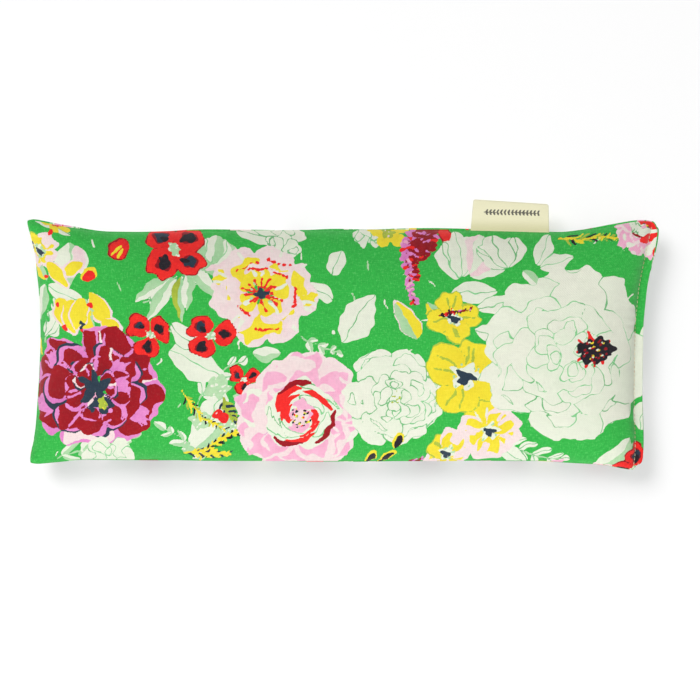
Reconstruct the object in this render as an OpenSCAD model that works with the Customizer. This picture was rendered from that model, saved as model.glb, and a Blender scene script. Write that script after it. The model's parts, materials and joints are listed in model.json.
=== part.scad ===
// Eye pillow: a printed cotton cover sewn round an inner pouch of flax seed
// and lavender, with a folded ribbon label caught in the long seam and a
// topstitched closing edge at the +X end.
// Origin: centre of the flat resting face. +X runs along the length towards
// the closing edge, +Y points to the long seam that holds the label, +Z is up.

/* [Pillow] */
// Length of the filled pillow between the middles of its short edges
body_l = 238.4; // [200:0.2:260]
// Width of the filled pillow between the middles of its long edges
body_w = 91; // [80:0.5:105]
// How far each corner stands out past the short edge's middle
flare_x = 5.4; // [2:0.2:8]
// How far each corner stands out past the long edge's middle
flare_y = 4; // [2:0.2:6]
// Height of the crown above the resting face
thickness = 29; // [24:0.5:34]
// Height of the seam line above the resting face
seam_z = 10.5; // [9:0.25:12]

/* [Fabric] */
// Thickness of the printed cotton
cotton_t = 0.45; // [0.35:0.05:0.6]
// Thickness of the inner pouch's muslin
muslin_t = 0.3; // [0.25:0.05:0.4]
// Width of the flat edge outside the closing stitches
flange_w = 3.2; // [2.5:0.1:5]

/* [Stitches] */
// Pitch of the closing topstitch
topstitch_pitch = 1.8; // [1.6:0.1:3]
// Pitch of the construction seams
seam_pitch = 2.6; // [2.4:0.2:4]
// Diameter of the sewing thread
thread_d = 0.28; // [0.2:0.02:0.34]

/* [Label] */
// Width of the ribbon
label_w = 30.8; // [24:0.2:36]
// How far the folded ribbon stands out of the seam
label_h = 11.2; // [8:0.1:14]
// Distance of the label's middle from the pillow's middle, along the length
label_x = 67.2; // [40:0.2:80]
// Thickness of one layer of ribbon
ribbon_t = 0.25; // [0.2:0.05:0.35]

/* [Filling] */
// Length over which each half of the fill tapers off towards the fold
lobe_r = 22; // [22:1:30]
// Half the gap between the two halves of the fill at the fold
lobe_gap = 1.5; // [1:0.1:3]
// Lavender buds in each half
buds = 26; // [8:1:40]

/* [Hidden] */

Lh = body_l / 2;
Wh = body_w / 2;
rim = 2 * cotton_t;                    // turned-in edge: two layers of cotton
pouch_in = 3.6;                        // pouch edge inside the cover's edge
pouch_z = cotton_t + 0.2;              // pouch skin inside the cover's outside
pouch_tail = 2;                        // flat edge outside the pouch's closing seam
pouch_r = flange_w + 2.4;              // pouch's closing edge inside the cover's
fill_in = pouch_in + muslin_t + 1.1;
fill_r = pouch_r + pouch_tail + muslin_t + 1.2;
fill_z = pouch_z + muslin_t + 0.4;
seam_gap = 0.02;                       // half the gap between two sewn edges
hinge_y = Wh + 0.9;                    // line the ribbon turns about
grid_x = 36;                           // cells along and across every sheet
grid_y = 14;

// Rounded pillow height: 1 in the middle and 0 at every seam
function bulge(p, q) = pow(max(0, 1 - pow(abs(p), 6)), 0.62)
                     * pow(max(0, 1 - pow(abs(q), 2.3)), 0.62);
// Corners stand out: plan position of a point at length x, width share q
function flare(x, q, w) =
    [x * (1 + flare_x / Lh * pow(abs(q), 3)),
     q * (w + flare_y * pow(min(1, abs(x) / Lh), 8))];
// Shares from -1 to 1, closer together towards the ends
function shares(n) = [for (i = [0:n]) let (s = 2 * i / n - 1)
    sign(s) * (1 - pow(1 - abs(s), 1.5))];

function upper_z(b, drop) = (thickness - seam_z - drop) * b;
function lower_z(b, drop) = -min(seam_z - drop, 1.9 * (seam_z - drop) * b);

// Plan and height of one skin. inset_l and inset_r hold the two ends in from
// the edge, inset_w the sides, drop lowers the skin, lift raises its edge,
// tail adds flat columns past the closing stitches. side is 1 for the front
// and -1 for the back.
function skin(ps, qs, inset_l, inset_r, inset_w, drop, lift, tail, side) =
    let (x0 = -(Lh - inset_l), x1 = Lh - inset_r)
    [for (c = [0:len(ps) + 1]) for (q = qs)
        let (p = c < len(ps) ? ps[c] : 1,
             x = c < len(ps) ? x0 + (x1 - x0) * (p + 1) / 2
                             : x1 + tail * (c - len(ps) + 1) / 2,
             b = bulge(p, q),
             xy = flare(x, q, Wh - inset_w),
             z = side > 0 ? lift + upper_z(b, drop + lift)
                          : -lift + lower_z(b, drop + lift))
        [xy[0], xy[1], seam_z + z]];

// A sheet of fabric as a closed solid: outer skin, edge, seam face, inner skin
module sheet(edge_l, edge_r, edge_w, drop, t, edge_t, tail, side) {
    ps = shares(grid_x);
    qs = shares(grid_y);
    m = grid_y + 1;
    n = grid_x + 3;
    outer = skin(ps, qs, edge_l, edge_r + tail, edge_w, drop, edge_t, tail, side);
    inner = skin(ps, qs, edge_l + t, edge_r + tail + t, edge_w + t, drop + t, seam_gap, t * 0.7, side);
    loop = concat([for (i = [0:n - 1]) i * m],
                  [for (j = [1:m - 1]) (n - 1) * m + j],
                  [for (i = [1:n - 1]) (n - 1 - i) * m + m - 1],
                  [for (j = [1:m - 2]) m - 1 - j]);
    k = len(loop);
    base = 2 * n * m;
    edge = [for (i = loop) [outer[i][0], outer[i][1], seam_z + side * seam_gap]];
    quads = [for (i = [0:n - 2]) for (j = [0:m - 2])
        [i * m + j, (i + 1) * m + j, (i + 1) * m + j + 1, i * m + j + 1]];
    top = [for (f = quads) [f[0], f[3], f[2], f[1]]];
    under = [for (f = quads) [for (v = f) v + n * m]];
    wall = [for (i = [0:k - 1]) let (j = (i + 1) % k)
        [loop[i], loop[j], base + j, base + i]];
    seam = [for (i = [0:k - 1]) let (j = (i + 1) % k)
        [base + i, base + j, loop[j] + n * m, loop[i] + n * m]];
    all_faces = concat(top, under, wall, seam);
    tris = [for (f = all_faces) for (h = [0, 1])
        h == 0 ? [f[0], f[1], f[2]] : [f[0], f[2], f[3]]];
    polyhedron(points = concat(outer, inner, edge),
               faces = side > 0 ? tris : [for (f = tris) [f[2], f[1], f[0]]]);
}

// One half of the loose fill: the pillow's shape, tapering off at the fold
module lobe(dir, nu) {
    qs = shares(grid_y);
    m = grid_y + 1;
    x0 = -(Lh - fill_in);
    x1 = Lh - fill_r;
    us = [for (i = [0:nu]) let (s = i / nu) s < 0.5 ? 2 * s * s : 1 - 2 * (1 - s) * (1 - s)];
    function taper(x) = let (s = min(1, (x - lobe_gap) / lobe_r)) s * (2 - s);
    function at(u, q, side) =
        let (x = lobe_gap + ((dir > 0 ? x1 : -x0) - lobe_gap) * u,
             b = bulge(2 * (dir * x - x0) / (x1 - x0) - 1, q),
             xy = flare(dir * x, q, Wh - fill_in),
             z = (side > 0 ? upper_z(b, fill_z) : lower_z(b, fill_z)) * taper(x))
        [xy[0], xy[1], seam_z + z + side * 0.1];
    up = [for (u = us) for (q = qs) at(u, q, 1)];
    down = [for (u = us) for (q = qs) at(u, q, -1)];
    n = nu + 1;
    loop = concat([for (i = [0:n - 1]) i * m],
                  [for (j = [1:m - 1]) (n - 1) * m + j],
                  [for (i = [1:n - 1]) (n - 1 - i) * m + m - 1],
                  [for (j = [1:m - 2]) m - 1 - j]);
    k = len(loop);
    quads = [for (i = [0:n - 2]) for (j = [0:m - 2])
        [i * m + j, (i + 1) * m + j, (i + 1) * m + j + 1, i * m + j + 1]];
    top = [for (f = quads) [f[0], f[3], f[2], f[1]]];
    under = [for (f = quads) [for (v = f) v + n * m]];
    wall = [for (i = [0:k - 1]) let (j = (i + 1) % k)
        [loop[i], loop[j], loop[j] + n * m, loop[i] + n * m]];
    tris = [for (f = concat(top, under, wall)) for (h = [0, 1])
        h == 0 ? [f[0], f[1], f[2]] : [f[0], f[2], f[3]]];
    polyhedron(points = concat(up, down),
               faces = dir > 0 ? tris : [for (f = tris) [f[2], f[1], f[0]]]);
}

// Stitches laid end to end between two functions of a share s from 0 to 1
module stitch(a, b, d) {
    v = b - a;
    len = norm(v);
    translate(a) rotate([0, acos(v[2] / len), atan2(v[1], v[0])])
        cylinder(h = len, d = d, $fn = 16);
}

// Seam line along a long edge, dir 1 for the label's side
function long_edge(s, dir, inset, x0, x1) =
    let (x = x0 + (x1 - x0) * s, xy = flare(x, dir, Wh - inset)) [xy[0], xy[1], seam_z];
// Seam line along a short edge at length x
function short_edge(s, x, inset, z) =
    let (q = (2 * s - 1), xy = flare(x, q, Wh - inset)) [xy[0], xy[1], z];

module long_seam(dir, inset, x0, x1) {
    n = floor((x1 - x0) / seam_pitch);
    for (i = [0:n - 1])
        stitch(long_edge((i + 0.14) / n, dir, inset, x0, x1),
               long_edge((i + 0.86) / n, dir, inset, x0, x1), thread_d);
}

module short_seam(x, inset, pitch, z, gap) {
    n = floor((body_w - 2 * inset) / pitch);
    for (i = [0:n - 1])
        stitch(short_edge((i + gap) / n, x, inset, z),
               short_edge((i + 1 - gap) / n, x, inset, z), thread_d);
}

module cover_front() {
    color([0.20, 0.70, 0.30])
        sheet(0, 0, 0, 0, cotton_t, rim, flange_w, 1);
}

module cover_back() {
    color([0.20, 0.70, 0.30])
        difference() {
            sheet(0, 0, 0, -0.1, cotton_t + 0.1, rim, flange_w, -1);
            translate([-Lh - 20, -Wh - 20, -10]) cube([body_l + 40, body_w + 40, 10]);
        }
}

module top_seam_thread() {
    color([0.93, 0.92, 0.84])
        long_seam(1, cotton_t / 2, -Lh + 1, Lh - 1);
}

module bottom_seam_thread() {
    color([0.93, 0.92, 0.84])
        long_seam(-1, cotton_t / 2, -Lh + 1, Lh - 1);
}

module left_seam_thread() {
    color([0.93, 0.92, 0.84])
        short_seam(-Lh + cotton_t / 2, 1.5, seam_pitch, seam_z, 0.14);
}

module closure_needle_thread() {
    color([0.93, 0.92, 0.84])
        short_seam(Lh - flange_w, 1.2, topstitch_pitch, seam_z + rim + 0.04, 0.12);
}

module closure_bobbin_thread() {
    color([0.93, 0.92, 0.84])
        short_seam(Lh - flange_w, 1.2, topstitch_pitch, seam_z - rim - 0.04, 0.12);
}

// Folded ribbon standing out of the long seam, seen end on
module ribbon_loop() {
    r = ribbon_t + 0.3;
    difference() {
        union() {
            translate([0.05, -r]) square([label_h - r - 0.05, 2 * r]);
            translate([label_h - r, 0]) circle(r = r, $fn = 32);
        }
        union() {
            translate([-1, -r + ribbon_t]) square([label_h - r + 1, 2 * r - 2 * ribbon_t]);
            translate([label_h - r, 0]) circle(r = r - ribbon_t, $fn = 32);
        }
    }
}

module label_tab() {
    color([0.91, 0.91, 0.77])
        translate([label_x - label_w / 2, hinge_y, seam_z])
            rotate([90, 0, 90]) linear_extrude(height = label_w) ribbon_loop();
}

module label_seam_ends() {
    color([0.91, 0.91, 0.77])
        for (s = [-1, 1])
            translate([label_x - label_w / 2, Wh - 2.4, seam_z + (s > 0 ? 0.02 : -ribbon_t - 0.02)])
                cube([label_w, 2.5, ribbon_t]);
}

module pouch_front() {
    color([0.94, 0.91, 0.83])
        sheet(pouch_in, pouch_r, pouch_in, pouch_z, muslin_t, muslin_t, pouch_tail, 1);
}

module pouch_back() {
    color([0.94, 0.91, 0.83])
        sheet(pouch_in, pouch_r, pouch_in, pouch_z, muslin_t, muslin_t, pouch_tail, -1);
}

module pouch_seam_thread() {
    color([0.95, 0.94, 0.90]) {
        for (dir = [-1, 1])
            long_seam(dir, pouch_in + muslin_t / 2, -Lh + pouch_in + 1, Lh - pouch_r - pouch_tail - 1);
        short_seam(-Lh + pouch_in + muslin_t / 2, pouch_in + 1.2, seam_pitch, seam_z, 0.14);
    }
}

module pouch_closing_thread() {
    color([0.95, 0.94, 0.90])
        short_seam(Lh - pouch_r - pouch_tail / 2, pouch_in + 1.2, seam_pitch, seam_z, 0.14);
}

module flax_fill_left() {
    color([0.45, 0.27, 0.15]) lobe(-1, 18);
}

module flax_fill_right() {
    color([0.45, 0.27, 0.15]) lobe(1, 18);
}

// Dried buds scattered through one half of the fill by a golden-angle rule
module bud_cloud(dir) {
    for (i = [0:buds - 1]) {
        s = (i + 0.5) / buds;
        x = 30 + 62 * s;
        y = 24 * sin(i * 137.5);
        z = seam_z - 4 + 14 * ((i * 0.618) % 1);
        translate([dir * x, y, z]) rotate([0, 90 * ((i * 0.382) % 1), 137.5 * i])
            union() {
                cylinder(h = 3.4, r = 0.9, center = true, $fn = 24);
                translate([0, 0, 1.7]) sphere(r = 0.9, $fn = 24);
                translate([0, 0, -1.7]) sphere(r = 0.9, $fn = 24);
            }
    }
}

module lavender_left() {
    color([0.47, 0.41, 0.60]) bud_cloud(-1);
}

module lavender_right() {
    color([0.47, 0.41, 0.60]) bud_cloud(1);
}

cover_front();
cover_back();
top_seam_thread();
bottom_seam_thread();
left_seam_thread();
closure_needle_thread();
closure_bobbin_thread();
label_tab();
label_seam_ends();
pouch_front();
pouch_back();
pouch_seam_thread();
pouch_closing_thread();
flax_fill_left();
flax_fill_right();
lavender_left();
lavender_right();
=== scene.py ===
"""Looks of the eye pillow: a printed cover shaped by cloth simulation, its seams, topstitching and
ribbon tab, and the pouch and seed inside. Lengths are in mm until a mesh is made."""
import json
import math

import bpy
import mathutils
import numpy as np
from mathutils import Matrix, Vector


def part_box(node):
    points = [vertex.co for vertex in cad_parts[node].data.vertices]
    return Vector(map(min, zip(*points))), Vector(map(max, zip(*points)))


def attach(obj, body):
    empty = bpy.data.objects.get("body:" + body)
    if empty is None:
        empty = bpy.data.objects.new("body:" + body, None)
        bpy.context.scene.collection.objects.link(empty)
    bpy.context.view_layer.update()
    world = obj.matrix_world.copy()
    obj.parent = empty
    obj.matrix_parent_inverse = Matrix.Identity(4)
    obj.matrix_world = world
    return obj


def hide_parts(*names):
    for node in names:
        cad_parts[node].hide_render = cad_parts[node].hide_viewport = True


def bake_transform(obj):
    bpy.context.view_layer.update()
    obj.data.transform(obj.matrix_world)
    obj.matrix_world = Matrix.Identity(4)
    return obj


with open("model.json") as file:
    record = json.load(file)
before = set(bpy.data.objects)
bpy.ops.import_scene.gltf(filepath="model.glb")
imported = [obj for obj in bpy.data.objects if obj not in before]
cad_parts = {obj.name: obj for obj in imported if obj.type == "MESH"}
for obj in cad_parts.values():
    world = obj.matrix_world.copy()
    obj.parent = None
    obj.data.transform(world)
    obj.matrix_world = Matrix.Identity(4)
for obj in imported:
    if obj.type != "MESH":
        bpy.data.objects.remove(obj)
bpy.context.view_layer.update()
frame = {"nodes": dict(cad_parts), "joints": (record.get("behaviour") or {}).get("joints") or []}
MM = 0.001
JOINT = {j["name"]: j for j in frame["joints"]}
SEAM_Z = JOINT["label_flap"]["pos_m"][2] * 1000
TOP_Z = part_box("cover_front")[1].z * 1000
rng = np.random.default_rng(3)

HL, HW = 125.0, 50.0   # half of the flat sewn size
FLANGE = 3.2           # flat edge outside the closing stitches
CLOTH = 0.42           # printed cotton with its slight loft
NU, NV = 100, 42       # cells of the simulated grid

# ---------------------------------------------------------------- the print
# A generic painted floral. Every ink is a signed-distance screen in flat cloth
# coordinates, so its edges stay sharp between the mesh's points.
INKS = [  # name, light, deep, raggedness of its edges in mm
    ("green", (0x36, 0xbf, 0x4c), (0x2f, 0xb6, 0x46), 0.0),
    ("cream_a", (0xf0, 0xf4, 0xe1), (0xe9, 0xf1, 0xdb), 0.16),
    ("cream_b", (0xee, 0xf3, 0xdf), (0xe7, 0xf1, 0xd9), 0.16),
    ("cream_c", (0xf1, 0xf3, 0xe1), (0xea, 0xf0, 0xdb), 0.16),
    ("mint", (0xbf, 0xe2, 0xb4), (0x9b, 0xd4, 0x9a), 0.35),
    ("pink", (0xfb, 0xbf, 0xd8), (0xf6, 0xa3, 0xc6), 0.75),
    ("orchid", (0xee, 0x92, 0xd2), (0xd8, 0x70, 0xbe), 0.70),
    ("red", (0xff, 0x2c, 0x26), (0xe6, 0x1a, 0x20), 0.30),
    ("burgundy", (0xa8, 0x0a, 0x1c), (0x86, 0x06, 0x16), 0.55),
    ("yellow", (0xfa, 0xe8, 0x36), (0xf5, 0xdd, 0x30), 0.65),
    ("navy", (0x2e, 0x42, 0x52), (0x1f, 0x2d, 0x3e), 0.35),
    ("black", (0x2a, 0x22, 0x2c), (0x18, 0x14, 0x1c), 0.25),
    ("lime", (0xbd, 0xcf, 0x45), (0x96, 0xa8, 0x38), 0.40),
    ("blush", (0xf8, 0xe6, 0xe3), (0xf6, 0xd3, 0xd8), 0.60),
]
INK = {row[0]: i for i, row in enumerate(INKS)}
REACH = 2.5


def ripple(x, y, scale, seed):
    """Smooth repeatable noise in about -1 to 1."""
    r = np.random.default_rng(seed)
    out = np.zeros(np.shape(x))
    for _ in range(6):
        a, ph = r.uniform(0, 2 * math.pi), r.uniform(0, 2 * math.pi)
        k = 2 * math.pi / (scale * r.uniform(0.65, 1.5))
        out += 0.4 * np.sin(k * (x * math.cos(a) + y * math.sin(a)) + ph)
    return out


class Cloth:
    """Ink screens over a grid of flat cloth coordinates, in mm."""

    def __init__(self, xs, ys, seed=5):
        self.x, self.y = np.asarray(xs, float), np.asarray(ys, float)
        self.S = np.full((len(INKS), len(self.x), len(self.y)), REACH)
        self.S[0] = -REACH
        self.tone = np.full((len(self.x), len(self.y)), 0.3)
        self.r = np.random.default_rng(seed)
        # hand-drawn shapes wander: every shape is drawn in gently warped coordinates
        X, Y = np.meshgrid(self.x, self.y, indexing="ij")
        self.WX = X + 0.85 * ripple(X, Y, 21, seed) + 0.38 * ripple(X, Y, 6.5, seed + 1)
        self.WY = Y + 0.85 * ripple(X, Y, 21, seed + 2) + 0.38 * ripple(X, Y, 6.5, seed + 3)

    def win(self, cx, cy, r):
        r += 2.0
        i0, i1 = np.searchsorted(self.x, (cx - r, cx + r))
        j0, j1 = np.searchsorted(self.y, (cy - r, cy + r))
        if i1 - i0 < 2 or j1 - j0 < 2:
            return None
        si, sj = slice(i0, i1), slice(j0, j1)
        return si, sj, self.WX[si, sj], self.WY[si, sj]

    def paint(self, ink, si, sj, d, tone=None):
        d = np.clip(d, -REACH, REACH)
        if ink == "auto":
            # the cream that its surroundings use least, so that a contour prints all round
            top = self.S[:, si, sj].argmin(0)[(d > 0) & (d < 1.3)]
            n = [np.count_nonzero(top == j) for j in (1, 2, 3)]
            ink = INKS[1 + int(np.argmin(n))][0]
        k = INK[ink]
        own = np.minimum(self.S[k, si, sj], d)
        block = self.S[:, si, sj]
        np.maximum(block, -d[None], out=block)
        self.S[:, si, sj] = block
        self.S[k, si, sj] = own
        if tone is not None:
            a = np.clip(0.5 - d / 0.5, 0, 1)
            self.tone[si, sj] = self.tone[si, sj] * (1 - a) + np.clip(tone, 0, 1) * a

    def petal(self, ink, cx, cy, ang, L, W, al=0.6, be=0.36, bend=0.0, notch=0.0, nf=3.0, ph=0.0, tone=(0.85, 0.05), cut=None, split=None):
        w = self.win(cx, cy, L * 1.2 + W + REACH)
        if w is None:
            return
        si, sj, X, Y = w
        ca, sa = math.cos(ang), math.sin(ang)
        a = (X - cx) * ca + (Y - cy) * sa
        b = -(X - cx) * sa + (Y - cy) * ca
        b = b - bend * L * np.clip(a / L, -0.2, 1.2) ** 2
        Le = L * (1 + notch * np.cos(nf * b / W * math.pi / 2 + ph))
        t = a / Le
        tc = np.clip(t, 1e-3, 1 - 1e-3)
        tm = al / (al + be)
        wd = W * tc**al * (1 - tc) ** be / (tm**al * (1 - tm) ** be)
        d = np.maximum.reduce([(np.abs(b) - wd) * 0.85, a - Le, -a])
        if cut is not None:
            d = np.maximum(d, cut(a / L, b / W) * min(L, W))
        tv = tone[0] + (tone[1] - tone[0]) * np.clip(t, 0, 1) + 0.10 * np.sin(5 * b / max(W, 0.1) + ph)
        if split:
            # strips side by side in alternating classes: their shared edges print as fine lines
            n = len(split)
            edges = np.linspace(-1, 1, n + 1)
            s = b / np.maximum(wd, 0.4)
            for k, c in enumerate(split):
                lo, hi = edges[k], edges[k + 1]
                dd = d
                if k > 0:
                    dd = np.maximum(dd, (lo - s) * np.maximum(wd, 0.4))
                if k < n - 1:
                    dd = np.maximum(dd, (s - hi) * np.maximum(wd, 0.4))
                self.paint(c, si, sj, dd, tv)
        else:
            self.paint(ink, si, sj, d, tv)

    def disc(self, ink, cx, cy, r, wob=0.0, n=5, ph=0.0, sx=1.0, tone=0.3):
        w = self.win(cx, cy, r * 1.4 * max(sx, 1) + REACH)
        if w is None:
            return
        si, sj, X, Y = w
        dx, dy = (X - cx) / sx, Y - cy
        th = np.arctan2(dy, dx)
        R = r * (1 + wob * np.sin(n * th + ph) + 0.5 * wob * np.sin((2 * n - 1) * th + 2.1 * ph))
        self.paint(ink, si, sj, (np.hypot(dx, dy) - R) * 0.9, np.full(X.shape, tone))

    def stroke(self, ink, pts, w0, w1=None, tone=0.4):
        w1 = w0 if w1 is None else w1
        P = np.asarray(pts, float)
        c = (P.min(0) + P.max(0)) / 2
        w = self.win(c[0], c[1], np.abs(P - c).max() + max(w0, w1) + REACH)
        if w is None:
            return
        si, sj, X, Y = w
        best = np.full(X.shape, 99.0)
        n = len(P) - 1
        for k in range(n):
            ax, ay = P[k]
            vx, vy = P[k + 1] - P[k]
            t = np.clip(((X - ax) * vx + (Y - ay) * vy) / (vx * vx + vy * vy + 1e-9), 0, 1)
            ww = w0 + (w1 - w0) * (k + t) / n
            best = np.minimum(best, np.hypot(X - ax - t * vx, Y - ay - t * vy) - ww)
        self.paint(ink, si, sj, best, np.full(X.shape, tone))

    # ---- plants
    def curve(self, x, y, ang, L, bend, n=7):
        p, a = [(x, y)], ang
        for _ in range(n):
            a += bend / n
            x += L / n * math.cos(a)
            y += L / n * math.sin(a)
            p.append((x, y))
        return p, a

    def leaf(self, x, y, ang, L, W, ink="cream_a", other="cream_b", bend=0.15, tone=(0.7, 0.1)):
        self.petal(ink, x, y, ang, L, W, al=0.75, be=0.85, bend=bend, tone=tone, split=(ink, other))

    def spray(self, x, y, ang, L, n=5, size=7, ink="cream_a", other="cream_b", bend=0.5, stem="mint", open_=0.9):
        p, _ = self.curve(x, y, ang, L, bend, 2 * n)
        self.stroke(stem, p, 0.38, 0.33, 0.6)
        for k in range(1, n + 1):
            i = 2 * k - 1
            a = math.atan2(p[i + 1][1] - p[i][1], p[i + 1][0] - p[i][0])
            s = size * (1 - 0.45 * k / n)
            for g in (-1, 1):
                self.leaf(p[i][0], p[i][1], a + g * open_ * self.r.uniform(0.8, 1.15), s * self.r.uniform(0.85, 1.1), s * 0.24, ink, other, bend=-g * 0.2)
        self.leaf(p[-1][0], p[-1][1], a, size * 0.6, size * 0.17, ink, other, bend=0)

    def conifer(self, x, y, ang, L, inks=("yellow", "black"), bend=0.4):
        p, _ = self.curve(x, y, ang, L, bend, 12)
        for k in range(1, 13):
            a = math.atan2(p[k][1] - p[k - 1][1], p[k][0] - p[k - 1][0])
            s = 3.6 * (1.1 - 0.65 * k / 12)
            for g in (-1, 1):
                e = (p[k][0] + s * math.cos(a + g * 0.65), p[k][1] + s * math.sin(a + g * 0.65))
                self.stroke(inks[(k + (g > 0)) % len(inks)], [p[k], e], 0.42, 0.34, 0.3)
        self.stroke(inks[0], p, 0.4, 0.34, 0.7)

    def rings(self, cx, cy, R, spec, turn=0.0, sq=1.0):
        """spec rows: (share of R for the tips, petals, width share, ink chooser, rim ink or None)"""
        r = self.r
        for q, (tip, n, wd, inks, rim) in enumerate(spec):
            for j in r.permutation(n):
                a = turn + 0.7 * q + 2 * math.pi * j / n + r.uniform(-0.17, 0.17)
                tipr = tip * R * r.uniform(0.9, 1.06)
                L = tipr * r.uniform(0.62, 0.74)
                W = R * wd * r.uniform(0.85, 1.12)
                bx, by = cx + (tipr - L) * math.cos(a), cy + (tipr - L) * math.sin(a) * sq
                ink = inks[r.integers(len(inks))]
                bend, ph, notch = r.uniform(-0.16, 0.16), r.uniform(0, 6), r.uniform(0.01, 0.05)
                kw = dict(bend=bend, ph=ph, notch=notch, nf=r.uniform(2.2, 4.2))
                if rim:
                    self.petal(rim, bx, by, a + 0.05, L * 1.035, W * 1.10, tone=(0.5, 0.2), **kw)
                if isinstance(ink, tuple):
                    self.petal(ink[0], bx, by, a, L, W, split=ink, tone=(0.8, 0.0), **kw)
                else:
                    self.petal(ink, bx, by, a, L, W, tone=(0.95, 0.0), **kw)
                yield q, ink, bx, by, a, L, W, kw

    def streaks(self, ink, bx, by, a, L, W, n=2, t0=0.45, t1=0.9, w=0.38, tone=0.2):
        for _ in range(n):
            o = self.r.uniform(-0.5, 0.5) * W
            s0, s1 = L * self.r.uniform(t0 - 0.1, t0 + 0.1), L * self.r.uniform(t1 - 0.15, t1)
            c, s = math.cos(a), math.sin(a)
            pts = [(bx + u * c - o * v * s, by + u * s + o * v * c) for u, v in ((s0, 0.6), ((s0 + s1) / 2, 0.9), (s1, 1.1))]
            self.stroke(ink, pts, w * 1.25, w, tone)

    def dots(self, ink, cx, cy, R, n, r0=0.5, inner=0.0, tone=0.2):
        for k in range(n):
            q = inner + (1 - inner) * math.sqrt((k + 0.5) / n)
            a = 2.39996 * k + self.r.uniform(-0.3, 0.3)
            self.disc(ink, cx + R * q * math.cos(a), cy + R * q * math.sin(a), r0 * self.r.uniform(0.8, 1.2), tone=tone)

    def inset(self, ink, bx, by, a, L, W, kw, s=0.78, w=0.72, off=0.1, turn=0.0, tone=(0.8, 0.0)):
        """A second ink laid inside a petal, leaving its edge showing."""
        k = dict(kw)
        k["ph"] = kw.get("ph", 0) + 1.3
        k["notch"] = 0.09
        self.petal(ink, bx + off * L * math.cos(a), by + off * L * math.sin(a), a + turn, L * s, W * w, tone=tone, **k)

    def dark_peony(self, cx, cy, R):
        """A heavy burgundy flower with orchid edges, seen a little from the side."""
        r = self.r
        spec = [(1.08, 6, 0.50, ("orchid",), None), (0.80, 4, 0.46, ("orchid",), "navy"), (0.56, 4, 0.34, ("orchid",), None),
                (0.38, 3, 0.22, ("orchid", "blush"), "navy")]
        for q, ink, bx, by, a, L, W, kw in self.rings(cx, cy, R, spec, 0.45, 0.78):
            low = math.sin(a) < -0.5 and q in (0, 3)
            if low:
                self.inset("blush" if r.random() < 0.6 else "orchid", bx, by, a, L, W, kw, 0.93, 0.86, 0.03, 0.0)
                if r.random() < 0.6:
                    self.inset("pink", bx, by, a, L, W, kw, 0.6, 0.5, 0.05, r.uniform(-0.2, 0.2))
                self.streaks("burgundy", bx, by, a, L, W, 2, 0.2, 0.6, 0.5)
                continue
            self.inset("burgundy", bx, by, a, L, W, kw, r.uniform(0.88, 0.97), r.uniform(0.80, 0.92), 0.03, r.uniform(-0.06, 0.06))
            if r.random() < 0.55:
                self.inset("orchid", bx, by, a, L, W, kw, r.uniform(0.5, 0.75), r.uniform(0.22, 0.36), 0.2, r.uniform(-0.25, 0.25))
            self.streaks("orchid", bx, by, a, L, W, 2, 0.45, 0.98, w=0.42)
            if r.random() < 0.5:
                self.streaks("navy", bx, by, a, L, W, 2, 0.15, 0.6, 0.6)
            if r.random() < 0.3:
                self.streaks("blush", bx, by, a, L, W, 1, 0.6, 1.0, 0.5)
        for a in (0.5, 1.5, 2.4, 3.5):
            self.petal("navy", cx, cy - R * 0.05, a, R * 0.34, R * 0.065, al=0.5, be=0.6, bend=0.25, tone=(0.5, 0.2))
        self.disc("navy", cx + 2, cy - R * 0.24, R * 0.15, 0.3, 4, 1, 1.2)
        self.disc("lime", cx + 2.4, cy - R * 0.25, R * 0.085, 0.25, 5, 1)
        self.dots("yellow", cx + 2.4, cy - R * 0.25, R * 0.08, 4, 0.4)

    def line_flower(self, cx, cy, R, core=None, spec=None, turn=0.0, sq=0.97):
        """A pale flower drawn only by its contours: neighbouring petals are printed in different creams."""
        r = self.r
        spec = spec or [(1.0, 7, 0.42), (0.80, 6, 0.38), (0.60, 5, 0.31), (0.42, 5, 0.22), (0.27, 4, 0.13)]
        self.disc("cream_a", cx, cy, R * 0.5)
        rows = [(t, n, w, ("auto",), None) for t, n, w in spec]
        for q, ink, bx, by, a, L, W, kw in self.rings(cx, cy, R, rows, turn, sq):
            kw["notch"], kw["nf"] = r.uniform(0.04, 0.085), r.uniform(2.0, 4.5)
            self.petal("auto", bx, by, a, L, W, tone=(0.9, 0.0), **kw)
            if r.random() < 0.55 and L > 4:
                # a fold: a long narrow lobe along one edge of the petal
                g = 1 if r.random() < 0.5 else -1
                self.petal("auto", bx + 0.1 * L * math.cos(a), by + 0.1 * L * math.sin(a), a + g * r.uniform(0.12, 0.3), L * r.uniform(0.66, 0.86), W * r.uniform(0.3, 0.55),
                           al=0.6, be=0.5, bend=kw["bend"], notch=0.05, ph=kw["ph"], tone=(0.6, 0.0))
        if core:
            self.core(*core)

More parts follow.
